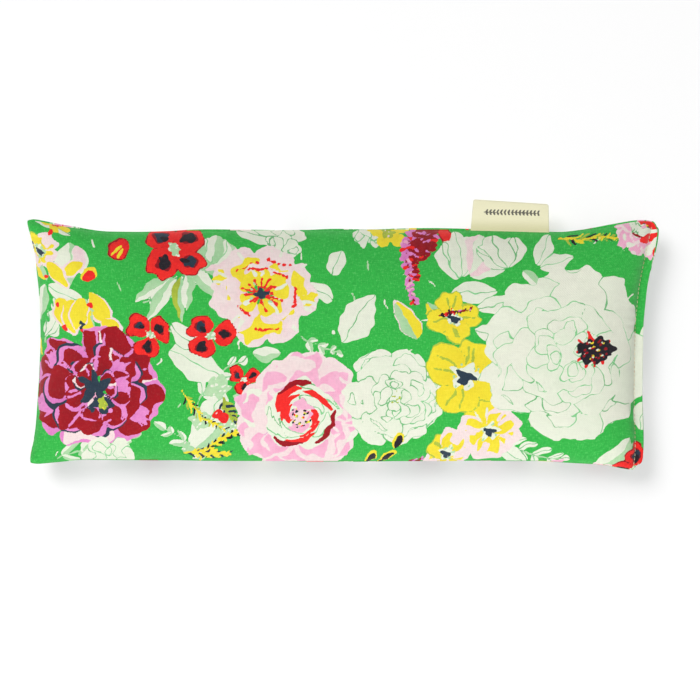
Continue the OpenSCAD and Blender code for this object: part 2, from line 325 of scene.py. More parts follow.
    def core(self, cx, cy, r):
        for k in range(11):
            a = 2 * math.pi * k / 11 + 0.2
            q = 1.0 + 0.55 * self.r.random()
            e = (cx + r * q * 1.15 * math.cos(a), cy + r * q * math.sin(a))
            self.stroke("red", [(cx + r * 0.4 * math.cos(a), cy + r * 0.4 * math.sin(a)), e], 1.1, 0.6, 0.5)
        self.disc("black", cx, cy, r * 1.02, 0.16, 5, 0.5, 1.2, 0.6)
        for k in range(11):
            a = 2 * math.pi * k / 11 + 0.25
            e = (cx + r * 1.25 * math.cos(a), cy + r * 1.05 * math.sin(a))
            self.stroke("black", [(cx + r * 0.5 * math.cos(a), cy + r * 0.5 * math.sin(a)), e], 0.9, 0.5, 0.6)
        self.dots("burgundy", cx, cy, r * 0.95, 16, 0.6, tone=0.2)
        self.dots("red", cx + 0.3, cy - 0.2, r * 0.9, 7, 0.45)
        self.dots("yellow", cx + 0.4, cy + 0.3, r * 0.8, 8, 0.42, tone=0.5)
        self.dots("cream_a", cx - 0.3, cy + 0.2, r * 0.85, 7, 0.42)

    def ranunculus(self, cx, cy, R):
        r = self.r
        spec = [(1.0, 9, 0.30, ("blush",), None), (0.86, 8, 0.30, ("blush", "blush", "cream_c"), None), (0.70, 7, 0.27, ("blush",), None)]
        for q, ink, bx, by, a, L, W, kw in self.rings(cx, cy, R, spec, 0.1, 0.95):
            if r.random() < 0.85:
                self.inset("pink", bx, by, a, L, W, kw, r.uniform(0.8, 1.0), r.uniform(0.62, 0.92), 0.03, r.uniform(-0.15, 0.15), (1.0, 0.2))
            if r.random() < 0.3:
                self.inset("orchid", bx, by, a, L, W, kw, 0.45, 0.35, 0.1, r.uniform(-0.25, 0.25), (0.2, 0.0))
            if r.random() < 0.35:
                self.streaks("blush", bx, by, a, L, W, 2, 0.5, 0.98, 0.6)
        k = R * 0.47
        # the cupped heart: crescents wound round each other
        self.disc("cream_b", cx, cy, k * 1.04, 0.06, 5, 0.4, 1.05, 0.2)
        for q, n, inks in ((1.0, 5, ("burgundy", "cream_a")), (0.82, 5, ("red", "cream_a", "red")), (0.62, 4, ("cream_a", "red")), (0.44, 4, ("red", "pink"))):
            for j in range(n):
                a0 = 2 * math.pi * j / n + 5.1 * q + r.uniform(-0.2, 0.2)
                span = 2 * math.pi / n * r.uniform(0.75, 1.05)
                w = k * 0.10 * r.uniform(0.8, 1.6)
                pts = [(cx + k * q * 1.03 * math.cos(a0 + span * u) * (1 - 0.10 * u), cy + k * q * math.sin(a0 + span * u) * (1 - 0.10 * u)) for u in np.linspace(0, 1, 8)]
                ink = inks[j % len(inks)]
                mid = len(pts) // 2
                self.stroke(ink, pts[:mid + 1], 0.4, w, 0.3)
                self.stroke(ink, pts[mid:], w, 0.4, 0.3)
        self.disc("pink", cx, cy, k * 0.36, 0.15, 5, 0.3, 0.85, 0.4)
        self.disc("blush", cx, cy, k * 0.25, 0.15, 5, 0.3, 0.85, 0.6)
        self.dots("lime", cx, cy, k * 0.22, 6, 0.6)
        self.dots("black", cx, cy, k * 0.33, 16, 0.45)
        self.dots("yellow", cx, cy, k * 0.30, 8, 0.4)
        self.dots("red", cx, cy, k * 0.34, 5, 0.4)

    def sun_rose(self, cx, cy, R):
        r = self.r
        spec = [(1.0, 8, 0.33, ("blush",), None), (0.84, 7, 0.32, ("blush", "blush", "yellow"), None), (0.66, 6, 0.27, ("blush",), None), (0.46, 5, 0.20, ("yellow",), None)]
        for q, ink, bx, by, a, L, W, kw in self.rings(cx, cy, R, spec, 0.5):
            if ink == "blush" and r.random() < 0.82:
                self.inset("yellow", bx, by, a, L, W, kw, r.uniform(0.62, 0.92), r.uniform(0.5, 0.85), 0.02, r.uniform(-0.2, 0.2), (0.7, 0.0))
            if r.random() < 0.35:
                self.streaks("cream_c", bx, by, a, L, W, 2, 0.5, 0.98, 0.6)
            if 0 < q < 3 and r.random() < 0.4:
                e = L * r.uniform(0.72, 0.9)
                for u in np.linspace(-0.55, 0.55, 5):
                    px, py = bx + e * math.cos(a) - u * W * 1.1 * math.sin(a), by + e * math.sin(a) + u * W * 1.1 * math.cos(a)
                    self.stroke("red", [(px, py), (px - 1.0 * math.sin(a + u), py + 1.0 * math.cos(a + u))], 0.55, 0.4)
        self.dots("mint", cx, cy, R * 0.26, 7, 0.7, 0.3)
        for j in range(15):
            a = 2 * math.pi * j / 15 + r.uniform(-0.15, 0.15)
            q = R * r.uniform(0.18, 0.38)
            e = (cx + q * math.cos(a), cy + q * math.sin(a))
            self.stroke("red", [(cx + 0.35 * q * math.cos(a), cy + 0.35 * q * math.sin(a)), e], 0.42, 0.36)
            self.disc("red", e[0], e[1], 0.72)
        self.disc("navy", cx, cy, R * 0.085, 0.3, 4, 1.0, 1.3)
        self.dots("navy", cx + 1, cy + 1, R * 0.12, 3, 0.6, 0.6)

    def poppy(self, cx, cy, R, ph=0.0):
        """Broad red petals, each with its own dark patch, round a dotted eye."""
        n = 3 if int(ph * 10) % 2 else 4
        for j in range(n):
            a = ph + 2 * math.pi * j / n + self.r.uniform(-0.1, 0.1)
            L, W = R * self.r.uniform(0.92, 1.08), R * (0.52 if n == 4 else 0.6)
            o = R * 0.10
            bx, by = cx + o * math.cos(a), cy + o * math.sin(a)
            self.petal("burgundy", bx, by, a, L + 0.45, W + 0.45, al=0.62, be=0.4, notch=0.05, ph=j, tone=(0.5, 0.3))
            self.petal("red", bx, by, a, L, W, al=0.62, be=0.4, notch=0.05, ph=j, tone=(0.7, 0.0))
            m = 0.55 * L
            px, py, v = bx + m * math.cos(a), by + m * math.sin(a), self.r.uniform(0, 6, 3)
            self.disc("burgundy", px, py, R * 0.25, 0.10, 3, v[0], 1.1, 0.6)
            self.disc("navy" if j % 2 else "black", px + 0.1, py, R * 0.21, 0.16, 3, v[1], 1.0, 0.5)
            self.petal("black", px, py, a + math.pi + 0.4 * math.sin(v[2]), R * 0.34, R * 0.10, tone=(0.4, 0.4))
        self.disc("mint", cx, cy, R * 0.2, 0.2, 6, ph)
        self.dots("cream_a", cx, cy, R * 0.26, 6, 0.5)

    def big_yellow(self, cx, cy, R, ph=0.0, n=5, blush=0.3):
        """A loose broad-petalled yellow flower."""
        r = self.r
        for j in r.permutation(n):
            a = ph + 2 * math.pi * j / n + r.uniform(-0.15, 0.15)
            L, W = R * r.uniform(0.88, 1.12), R * r.uniform(0.44, 0.54)
            kw = dict(bend=r.uniform(-0.12, 0.12), notch=0.05, nf=r.uniform(2, 4), ph=r.uniform(0, 6), al=0.6, be=0.36)
            pale = r.random() < blush
            self.petal("blush" if pale else "lime", cx, cy, a, L + 0.45, W + 0.45, tone=(0.3, 0.0), **kw)
            self.petal("yellow", cx, cy, a, L * (0.8 if pale else 1), W * (0.85 if pale else 1), tone=(0.9, 0.0), **kw)
            if pale:
                self.streaks("blush", cx, cy, a, L, W, 3, 0.5, 0.95, 0.7)
            else:
                self.streaks("cream_c" if r.random() < 0.5 else "lime", cx, cy, a, L, W, 2, 0.35, 0.9, 0.4)
        self.disc("cream_a", cx, cy, R * 0.26, 0.3, 5, ph, 1.1, 0.3)
        self.dots("mint", cx, cy, R * 0.30, 9, 0.5, 0.5)
        self.disc("navy", cx, cy - 0.3, R * 0.14, 0.3, 3, ph, 1.5)

    def blossom(self, cx, cy, R, petal="red", heart="black", eye="mint", n=5, ph=0.0):
        for j in range(n):
            a = ph + 2 * math.pi * j / n + self.r.uniform(-0.1, 0.1)
            self.petal(petal, cx, cy, a, R * self.r.uniform(0.9, 1.1), R * 0.38, al=0.8, be=0.3, notch=0.04, tone=(0.9, 0.1))
        self.disc(heart, cx, cy, R * 0.32, 0.2, 5, ph)
        self.dots(eye, cx, cy, R * 0.22, 3, 0.38)

    def orchid_bloom(self, cx, cy, R, ph=0.0):
        for j in range(6):
            a = ph + 2 * math.pi * j / 6 + self.r.uniform(-0.12, 0.12)
            self.petal("yellow", cx, cy, a, R * (1.0 if j % 2 else 0.8), R * (0.26 if j % 2 else 0.34), al=0.8, be=0.45, notch=0.03, tone=(1.0, 0.0), bend=self.r.uniform(-0.15, 0.15))
            self.streaks("lime" if j % 3 else "cream_c", cx, cy, a, R, R * 0.25, 1, 0.3, 0.85, 0.36)
        self.disc("lime", cx, cy, R * 0.2, 0.3, 5, ph, 1.2, 0.8)
        self.disc("navy", cx + 0.2, cy - 0.3, R * 0.14, 0.3, 3, ph, 1.5)
        self.dots("black", cx, cy, R * 0.3, 6, 0.42, 0.7)

    def bud_spray(self, x, y, ang, L, petal="burgundy", other="pink", n=16, bend=0.6, w=2.2):
        p, _ = self.curve(x, y, ang, L, bend, n)
        self.stroke("burgundy", p, 0.6, 0.4, 0.6)
        for k in range(n):
            a = math.atan2(p[k + 1][1] - p[k][1], p[k + 1][0] - p[k][0])
            for g in (-1, 1):
                s = w * (1.15 - 0.6 * k / n)
                ink = (petal, other, "orchid", "red")[self.r.integers(4)] if k % 2 else petal
                self.petal(ink, p[k][0], p[k][1], a + g * self.r.uniform(0.5, 1.3), s * self.r.uniform(1.0, 1.5), s * 0.36, tone=(0.7, 0.1))

    def tulip(self, x, y, ang, L, ink="cream_a", other="blush"):
        for o, k in ((-0.42, 0.9), (0.42, 0.9), (0.0, 1.0)):
            self.petal(ink, x, y, ang + o, L * k, L * 0.26, al=0.7, be=0.55, split=(ink, "cream_b", other) if o else (other, ink), tone=(0.9, 0.0))

    def berries(self, x, y, n=3, r=1.9, ink="red"):
        for k in range(n):
            a = 2.4 * k
            cx, cy = x + 2.6 * r * 0.6 * math.cos(a) * (k > 0), y + 2.6 * r * 0.6 * math.sin(a) * (k > 0)
            self.disc(ink, cx, cy, r, tone=0.6)
            self.disc("blush", cx - r * 0.3, cy + r * 0.35, 0.42, tone=0.1)


def at(px, py):
    """Layout position to flat cloth coordinates, in mm."""
    X, Y = (px - 340.75) * 0.397, (345.5 - py) * 0.397
    return X * 1.046, Y * (1 + 0.105 * (abs(Y) / 45.0) ** 2)


def print_front(xs, ys):
    c = Cloth(xs, ys, 11)
    A, B, C, M = "cream_a", "cream_b", "cream_c", "mint"
    rad = math.radians

    def sp(px, py, deg, L, n=5, size=7, ink=A, other=B, bend=0.5, stem=M, **k):
        c.spray(*at(px, py), rad(deg), L, n, size, ink, other, bend, stem, **k)

    def lf(px, py, deg, L, W, ink=A, other=B, bend=0.15, rim=None):
        if rim:
            c.petal(rim, *at(px, py), rad(deg), L + 0.8, W + 0.6, al=0.75, be=0.85, bend=bend, tone=(0.4, 0.2))
        c.leaf(*at(px, py), rad(deg), L, W, ink, other, bend)

    # thin light stems and flecks scattered over the ground
    for k in range(58):
        x, y = -121 + 242 * ((k * 0.61803) % 1), -47 + 94 * ((k * 0.7549 + 0.2) % 1)
        a = c.r.uniform(0, 6.28)
        p, _ = c.curve(x, y, a, c.r.uniform(1.6, 4.5), c.r.uniform(-1, 1), 3)
        c.stroke((M, A, B)[k % 3], p, 0.3, 0.42, 0.2)
    # leaves behind
    sp(148, 300, 15, 26, 5, 8, bend=0.5)
    sp(196, 285, 100, 18, 3, 8, M, A, bend=-0.4)
    lf(418, 338, 118, 19, 3.4, "yellow", M, rim="blush")
    sp(50, 345, 60, 16, 3, 7, A, B, bend=0.5)
    sp(205, 404, 70, 22, 3, 9, A, B, bend=-0.6)
    sp(70, 455, 10, 30, 5, 9, M, B, bend=0.2)
    sp(222, 455, 160, 24, 4, 9, A, M, bend=-0.3)
    sp(500, 440, -30, 24, 4, 9, A, B, bend=0.4)
    sp(440, 460, 35, 18, 3, 8, M, A, bend=0.3)
    sp(300, 335, -40, 16, 3, 7, A, M, bend=0.5)
    for px, py, dg, L, W, i, o in (
            # upper left: long pale leaves hanging between the blooms
            (76, 248, -88, 17, 4.8, A, M), (54, 288, -22, 16, 4.6, C, B), (50, 286, -108, 17, 2.8, A, M), (62, 306, -98, 15, 2.8, A, B), (38, 226, -12, 19, 3.6, A, B), (40, 262, -62, 11, 2.6, "yellow", M), (34, 330, -70, 12, 2.2, "lime", "yellow"),
            # radiating leaves under the poppies
            (178, 276, -160, 19, 3.0, M, A), (180, 276, -120, 22, 3.4, M, B), (184, 276, -95, 19, 2.4, "lime", M), (188, 274, -70, 15, 2.6, A, M), (190, 268, -30, 18, 3.2, M, A), (192, 262, 0, 16, 3.0, M, C),
            # broad leaves in the middle
            (172, 348, -25, 27, 7.0, A, B), (205, 345, 158, 15, 4.4, C, A), (228, 395, -112, 25, 6.0, A, B), (196, 452, 48, 24, 5.2, M, A), (338, 250, -100, 12, 3.6, A, C),
            (344, 342, 60, 22, 6.6, A, C), (332, 300, 140, 12, 3.6, A, B), (352, 235, -15, 13, 3.8, C, A),
            (445, 292, 10, 19, 4.6, A, B), (424, 300, -62, 20, 3.2, "yellow", M), (500, 330, 190, 12, 3.6, A, C), (521, 264, 65, 15, 4.6, A, B), (526, 266, 20, 16, 3.8, C, B), (512, 272, -30, 12, 2.6, A, M), (505, 300, 200, 14, 3.4, B, C),
            (640, 430, 80, 14, 4.2, A, B), (655, 380, 95, 12, 3.5, B, C), (652, 320, 250, 15, 3.5, A, C), (595, 462, 35, 18, 4.2, M, B), (530, 462, 150, 16, 4.0, A, B), (255, 352, -10, 12, 3.6, M, A), (240, 232, -20, 16, 4.0, A, C), (290, 236, 170, 18, 4.2, A, B)):
        lf(px, py, dg, L, W, i, o, bend=c.r.uniform(-0.25, 0.25))
    for px, py, r in ((222, 390, 4.2), (246, 402, 3.8), (206, 418, 4.4), (232, 430, 3.6)):
        c.disc(M, *at(px, py), r, 0.16, 5, px, 1, 0.1)
        c.dots(A, *at(px, py), r * 0.8, 9, 0.5)
    c.conifer(*at(188, 392), rad(-60), 24, ("yellow", "black", "lime"), 0.5)
    c.conifer(*at(206, 460), rad(60), 20, ("yellow", "black"), -0.6)
    c.conifer(*at(228, 400), rad(-75), 18, ("lime", "navy"), 0.5)
    c.conifer(*at(190, 452), rad(-5), 20, ("yellow", "navy", "yellow"), 0.2)
    c.conifer(*at(548, 240), rad(-8), 24, ("yellow", "lime", "black"), 0.2)
    c.conifer(*at(60, 420), rad(80), 14, ("lime", "yellow"), -0.3)

    # top left: small yellow and blush blooms
    c.big_yellow(*at(50, 256), 6.4, 0.9, 4, 0.5)
    c.blossom(*at(68, 232), 5.6, "yellow", "red", "lime", 5, 0.7)
    for px, py, dg, L, W, ink, rim in ((84, 250, -78, 10, 2.8, "blush", "cream_b"), (90, 264, -150, 9, 2.4, "yellow", "blush"), (58, 266, -50, 10, 3.0, "yellow", "blush"), (96, 294, -54, 15, 3.3, "yellow", "blush"),
                                       (96, 340, 98, 15, 2.7, "yellow", "mint"), (110, 318, -48, 10, 2.8, "yellow", "blush"), (64, 298, -78, 13, 4.0, "yellow", "blush"), (76, 300, -88, 13, 4.2, "yellow", "blush"), (88, 299, -104, 12, 3.8, "yellow", "blush")):
        c.petal(rim, *at(px, py), rad(dg), L + 1.0, W + 0.8, al=0.6, be=0.6, notch=0.04, tone=(0.4, 0.1))
        c.petal(ink, *at(px, py), rad(dg), L, W, al=0.6, be=0.6, notch=0.04, tone=(0.8, 0.0))
    c.petal("yellow", *at(92, 270), rad(-55), 6.4, 3.2, al=0.5, be=0.5, tone=(0.6, 0.1))
    c.petal("red", *at(91, 274), rad(-35), 5.4, 2.4, al=0.5, be=0.5, tone=(0.6, 0.1))
    for px, py in ((63, 304), (70, 326), (86, 328), (93, 304), (56, 276), (62, 240)):
        c.petal("red", *at(px, py), rad(3.7 * px), 2.6, 0.9, tone=(0.4, 0.2))
    c.dots("navy", *at(38, 256), 3.0, 4, 0.7)
    c.dots("navy", *at(88, 324), 1.6, 3, 0.7)
    # red poppies, top
    c.tulip(*at(206, 268), rad(35), 17, M, "blush")
    c.tulip(*at(214, 262), rad(75), 13, A, M)
    c.poppy(*at(181, 250), 11.4, 0.8)
    c.petal("burgundy", *at(132, 240), rad(-112), 10.5, 3.9, al=0.5, be=0.5, tone=(0.5, 0.2))
    c.petal("red", *at(132, 241), rad(-112), 9.4, 3.3, al=0.5, be=0.5, tone=(0.7, 0.0))
    c.streaks("yellow", *at(132, 241), rad(-112), 9, 3.2, 2, 0.5, 0.95, 0.5)
    # big burgundy peony, lower left
    c.dark_peony(*at(103, 391), 25.2)
    # small red blossoms
    for px, py, R, ph in ((152, 334, 8.0, 0.3), (212, 334, 8.6, 0.15), (246, 380, 5.6, 0.5)):
        c.poppy(*at(px, py), R, ph)
    c.berries(*at(230, 420), 2, 2.2)
    c.berries(*at(196, 448), 2, 1.8, M)
    c.line_flower(*at(118, 458), 11, spec=[(1.0, 6, 0.42), (0.62, 5, 0.32)])
    # yellow and blush rose
    c.line_flower(*at(285, 238), 9, spec=[(1.0, 5, 0.42), (0.6, 4, 0.3)])
    c.sun_rose(*at(264, 292), 21.5)
    # pink ranunculus, bottom middle
    c.ranunculus(*at(303, 418), 28.5)
    # line-drawn flower and its dark neighbours
    c.line_flower(*at(394, 398), 21.5, turn=0.4)
    c.dots("lime", *at(394, 400), 2.2, 8, 0.42)
    for px, py, dg in ((372, 462, 70), (384, 460, 50), (392, 446, 60)):
        c.petal("yellow", *at(px, py), rad(dg), 7.5, 1.9, tone=(0.4, 0.1))
        c.petal("black", *at(px + 1, py), rad(dg), 6.0, 1.2, tone=(0.4, 0.1))
    c.bud_spray(*at(398, 464), rad(10), 13, "burgundy", "orchid", 8, 0.2, 2.2)
    # tassel, tulips and a loose petal, top middle
    c.line_flower(*at(366, 232), 9, spec=[(1.0, 5, 0.42), (0.6, 4, 0.3)])
    c.blossom(*at(384, 236), 7.5, "yellow", "lime", "blush", 5, 0.5)
    c.bud_spray(*at(412, 226), rad(-116), 37, "orchid", "pink", 28, 0.9, 2.7)
    c.bud_spray(*at(417, 226), rad(-112), 27, "burgundy", "orchid", 22, 0.6, 2.5)
    c.bud_spray(*at(423, 228), rad(-100), 15, "burgundy", "burgundy", 13, 0.1, 2.6)
    c.petal("burgundy", *at(432, 230), rad(-68), 16.5, 3.0, al=0.4, be=0.7, tone=(0.5, 0.1))
    c.petal("red", *at(432, 230), rad(-68), 15.5, 2.4, al=0.4, be=0.7, tone=(0.6, 0.0))
    c.tulip(*at(452, 276), rad(96), 19, A, C)
    c.tulip(*at(462, 274), rad(50), 20, B, "blush")
    c.tulip(*at(500, 268), rad(118), 17, C, A)
    # yellow blooms
    c.big_yellow(*at(448, 318), 10.0, 0.35, 4, 0.0)
    c.bud_spray(*at(436, 316), rad(18), 13, "black", "navy", 8, 0.1, 1.2)
    c.big_yellow(*at(487, 432), 12.5, 0.8, 5, 0.6)
    c.big_yellow(*at(450, 452), 9.5, 0.1, 5, 0.8)
    c.big_yellow(*at(462, 378), 16.5, 1.3, 4, 0.1)
    # large line-drawn peony, right
    k = at(590, 352)
    spec = [(1.0, 8, 0.42), (0.82, 6, 0.40), (0.62, 6, 0.32), (0.44, 5, 0.24), (0.29, 4, 0.15)]
    c.line_flower(*at(560, 354), 35.0, (k[0], k[1], 5.4), spec, 0.6, 1.06)
    # right corners
    c.ranunculus(*at(632, 232), 15)
    for j, a in enumerate((0.2, 0.9, 1.7, 2.6)):
        c.petal("cream_a", *at(652, 238), a + 1.6, 12, 2.0, tone=(0.3, 0.0))
        c.petal("red", *at(652, 238), a + 1.9, 12, 1.7, tone=(0.5, 0.0))
    c.poppy(*at(636, 458), 8.5, 0.4)
    c.blossom(*at(606, 466), 6, "blush", "burgundy", "yellow", 5, 0.9)
    c.blossom(*at(556, 466), 5.2, "pink", "red", "yellow", 5, 0.1)
    return c


def print_back(xs, ys):
    """The same kind of print in another registration."""
    c = Cloth(xs, ys, 23)
    A, B, C, M = "cream_a", "cream_b", "cream_c", "mint"
    r = c.r
    for k in range(34):
        x, y = -120 + 240 * ((k * 0.7549) % 1), -46 + 92 * ((k * 0.5698 + 0.1) % 1)
        c.spray(x, y, r.uniform(0, 6.28), r.uniform(16, 28), 4, r.uniform(7, 10), (A, B, M)[k % 3], (B, C, A)[k % 3], r.uniform(-0.6, 0.6))
    for k in range(7):
        c.conifer(-110 + 36 * k, 40 * math.sin(2.1 * k), r.uniform(0, 6.28), 20, ("yellow", "black", "lime"), 0.4)
    c.line_flower(-84, 8, 35, (-78, 11, 4.4), turn=0.8)
    c.ranunculus(-22, -17, 27)
    c.sun_rose(-30, 30, 18)
    c.dark_peony(42, 14, 25)
    c.line_flower(8, 22, 17, turn=0.2)
    c.dots("lime", 8, 22, 2.0, 7, 0.42)
    c.line_flower(98, -20, 27, (100, -18, 3.6), turn=0.3)
    c.orchid_bloom(20, -30, 11, 0.3)
    c.orchid_bloom(36, -38, 9, 0.9)
    c.orchid_bloom(84, 34, 12, 0.5)
    c.orchid_bloom(104, 24, 9, 0.1)
    for x, y, R in ((66, -30, 8), (56, -18, 6.5), (74, -42, 6), (-52, 38, 6), (-44, -40, 7), (-62, -36, 6), (112, 42, 6)):
        c.poppy(x, y, R, x)
    for k in range(22):
        x, y = -122 + 11.5 * k, (46 if k % 2 else -46) + 2 * math.sin(k)
        c.blossom(x, y, 3.8 + 1.4 * (k % 3), ("red", "pink", "blush", "yellow", "burgundy")[k % 5], ("black", "red", "yellow", "lime", "navy")[k % 5], ("mint", "blush", "red", "black", "pink")[k % 5], 5, k)
    c.bud_spray(-112, -38, 0.9, 20, "burgundy", "pink", 14, 0.5, 2.2)
    c.bud_spray(118, -2, 2.0, 18, "burgundy", "orchid", 12, 0.5, 2.0)
    return c
# ---------------------------------------------------------------- the filled shape
def bulge(p, q):
    return np.clip(1 - np.abs(p) ** 6, 0, 1) ** 0.62 * np.clip(1 - np.abs(q) ** 2.3, 0, 1) ** 0.62


def start_shape(U, V, side):
    b = bulge(U, V)
    x = U * 117.6 * (1 + 0.0453 * np.abs(V) ** 3) - 1.6
    y = V * (45.5 + 4 * np.abs(U) ** 8)
    z = SEAM_Z + (TOP_Z - SEAM_Z - 1) * b if side > 0 else SEAM_Z - np.minimum(SEAM_Z - 0.6, 1.9 * SEAM_Z * b)
    return np.stack([x, y, z], -1)


def simulate(frames=30, volume=0.45):
    """Two flat panels sewn round their edge, filled to a volume on a floor, at ten times size."""
    S = 0.01
    U, V = np.meshgrid(np.linspace(-1, 1, NU + 1), np.linspace(-1, 1, NV + 1), indexing="ij")
    F, B = start_shape(U, V, 1), start_shape(U, V, -1)
    ids = np.arange((NU + 1) * (NV + 1)).reshape(NU + 1, NV + 1)
    inner = np.zeros_like(ids, bool)
    inner[1:-1, 1:-1] = True
    idb = ids.copy()
    idb[inner] = ids.size + np.arange(inner.sum())
    flat = np.stack([-HL + (2 * HL - FLANGE) * (U + 1) / 2, V * HW, np.full_like(U, SEAM_Z)], -1)
    co = np.concatenate([F.reshape(-1, 3), B[inner]]) * S
    rest = np.concatenate([flat.reshape(-1, 3), flat[inner]]) * S
    quad = lambda i: np.stack([i[:-1, :-1], i[1:, :-1], i[1:, 1:], i[:-1, 1:]], -1).reshape(-1, 4)
    me = bpy.data.meshes.new("sewn")
    me.from_pydata(co.tolist(), [], np.concatenate([quad(ids), quad(idb)[:, ::-1]]).tolist())
    ob = bpy.data.objects.new("sewn", me)
    bpy.context.scene.collection.objects.link(ob)
    ob.shape_key_add(name="Basis")
    key = ob.shape_key_add(name="flat")
    key.data.foreach_set("co", rest.astype(np.float32).ravel())
    key.value = 0
    mod = ob.modifiers.new("cloth", "CLOTH")
    s = mod.settings
    s.quality, s.mass, s.air_damping = 10, 0.3, 2.0
    s.tension_stiffness = s.compression_stiffness = 40
    s.shear_stiffness, s.bending_stiffness, s.bending_damping = 20, 1.0, 2
    s.tension_damping = s.compression_damping = s.shear_damping = 15
    s.use_pressure = s.use_pressure_volume = True
    s.uniform_pressure_force, s.pressure_factor, s.target_volume = 0, 200, volume
    s.rest_shape_key = key
    mod.collision_settings.distance_min = 0.004
    mod.collision_settings.use_self_collision = False
    mod.point_cache.frame_start, mod.point_cache.frame_end = 1, frames + 1
    pm = bpy.data.meshes.new("table")
    pm.from_pydata([(-3, -2, 0), (3, -2, 0), (3, 2, 0), (-3, 2, 0)], [], [(0, 1, 2, 3)])
    po = bpy.data.objects.new("table", pm)
    bpy.context.scene.collection.objects.link(po)
    po.modifiers.new("hit", "COLLISION")
    po.collision.thickness_outer, po.collision.cloth_friction = 0.002, 5
    sc = bpy.context.scene
    sc.frame_start, sc.frame_end = 1, frames + 1
    for f in range(1, frames + 1):
        sc.frame_set(f)
    ev = ob.evaluated_get(bpy.context.evaluated_depsgraph_get()).to_mesh()
    r = np.zeros(len(ev.vertices) * 3, np.float32)
    ev.vertices.foreach_get("co", r)
    r = r.reshape(-1, 3).astype(float) / S
    for o in (ob, po):
        bpy.data.objects.remove(o)
    for m in (me, pm):
        bpy.data.meshes.remove(m)
    sc.frame_set(1)
    return r[ids], r[idb]


def spline_rows(t, n):
    """Rows of a smoothing cubic B-spline matrix: positions t over n samples, ends kept."""
    i = np.clip(np.floor(t).astype(int), 0, n - 2)
    f = t - i
    w = np.stack([(1 - f) ** 3, 3 * f**3 - 6 * f**2 + 4, -3 * f**3 + 3 * f**2 + 3 * f + 1, f**3], -1) / 6
    M = np.zeros((len(t), n + 2))
    rows = np.arange(len(t))
    for k in range(4):
        np.add.at(M, (rows, i + k), w[:, k])
    M[:, 1] += 2 * M[:, 0]
    M[:, 2] -= M[:, 0]
    M[:, n] += 2 * M[:, n + 1]
    M[:, n - 1] -= M[:, n + 1]
    return M[:, 1:n + 1]


def resample(G, A, B):
    return np.stack([A @ G[..., c] @ B.T for c in range(3)], -1)


# outline of the filled pillow: position of each edge along its length
EDGE_L = ([-47.2, -46.6, -43.5, -40.3, -37.2, -34.0, -30.8, -24.4, -18.1, -11.7, 4.2, 16.9, 23.2, 29.6, 35.9, 39.1, 42.3, 45.5, 48.6, 50.0],
          [-123.8, -123.4, -123.0, -122.2, -121.4, -121.0, -120.6, -120.2, -119.8, -119.4, -119.0, -119.4, -119.8, -120.6, -121.0, -121.8, -122.6, -123.4, -124.2, -124.8])
EDGE_R = ([-49.2, -47.5, -39.9, -19.7, 8.9, 24.0, 42.7, 47.4, 48.9],
          [116.0, 116.6, 117.0, 116.5, 117.0, 118.5, 122.4, 123.5, 123.9])
EDGE_T = ([-124.8, -117.8, -109.9, -101.9, -94.0, -78.0, -62.2, -30.5, 1.3, 41.0, 64.8, 88.6, 96.6, 104.5, 112.5, 120.4, 123.9],
          [50.0, 48.6, 47.0, 45.9, 45.0, 44.9, 45.4, 45.5, 45.8, 45.8, 45.4, 44.8, 45.9, 46.8, 48.2, 49.6, 48.9])
EDGE_B = ([-123.8, -117.8, -109.9, -101.9, -94.0, -70.1, -54.3, 1.3, 41.0, 64.8, 80.7, 88.6, 104.5, 112.4, 116.0],
          [-47.2, -46.6, -45.9, -44.8, -45.0, -45.2, -45.6, -45.7, -45.7, -45.4, -45.6, -46.2, -47.1, -48.6, -49.2])


def smooth_interp(x, X, Y):
    """Interpolation with softened corners between the given points."""
    X, Y = np.array(X), np.array(Y)
    h = 2.2
    return sum(w * np.interp(np.clip(x + o * h, X[0], X[-1]) , X, Y) for o, w in ((-1, .25), (0, .5), (1, .25))) if len(X) else x


def fit_outline(F, B):
    """Moves both panels in plan so that their shared edge lies on the outline, by a Coons patch."""
    n, m = F.shape[:2]
    p, q = np.linspace(0, 1, n), np.linspace(0, 1, m)
    corner = {k: np.array(v) for k, v in dict(bl=(EDGE_B[0][0], EDGE_B[1][0]), br=(EDGE_B[0][-1], EDGE_B[1][-1]), tl=(EDGE_T[0][0], EDGE_T[1][0]), tr=(EDGE_T[0][-1], EDGE_T[1][-1])).items()}
    E = F[..., :2]

    def along(pos, axis, a, b, table):
        s = (pos[:, axis] - pos[0, axis]) / (pos[-1, axis] - pos[0, axis])
        main = a[axis] + (b[axis] - a[axis]) * s
        other = smooth_interp(main, *table)
        other = other + (a[1 - axis] - other[0]) * np.exp(-s * 40) + (b[1 - axis] - other[-1]) * np.exp(-(1 - s) * 40)
        out = np.zeros_like(pos)
        out[:, axis], out[:, 1 - axis] = main, other
        return out - pos

    dB, dT = along(E[:, 0], 0, corner["bl"], corner["br"], EDGE_B), along(E[:, -1], 0, corner["tl"], corner["tr"], EDGE_T)
    dL, dR = along(E[0], 1, corner["bl"], corner["tl"], EDGE_L), along(E[-1], 1, corner["br"], corner["tr"], EDGE_R)
    P, Q = p[:, None, None], q[None, :, None]
    d = (1 - Q) * dB[:, None] + Q * dT[:, None] + (1 - P) * dL[None] + P * dR[None]
    d -= (1 - P) * (1 - Q) * dB[0] + P * (1 - Q) * dB[-1] + (1 - P) * Q * dT[0] + P * Q * dT[-1]
    for G in (F, B):
        G[..., :2] += d
    return F, B


def normals(P):
    du, dv = np.gradient(P, axis=0), np.gradient(P, axis=1)
    n = np.cross(du, dv)
    return n / np.maximum(np.linalg.norm(n, axis=-1, keepdims=True), 1e-9)


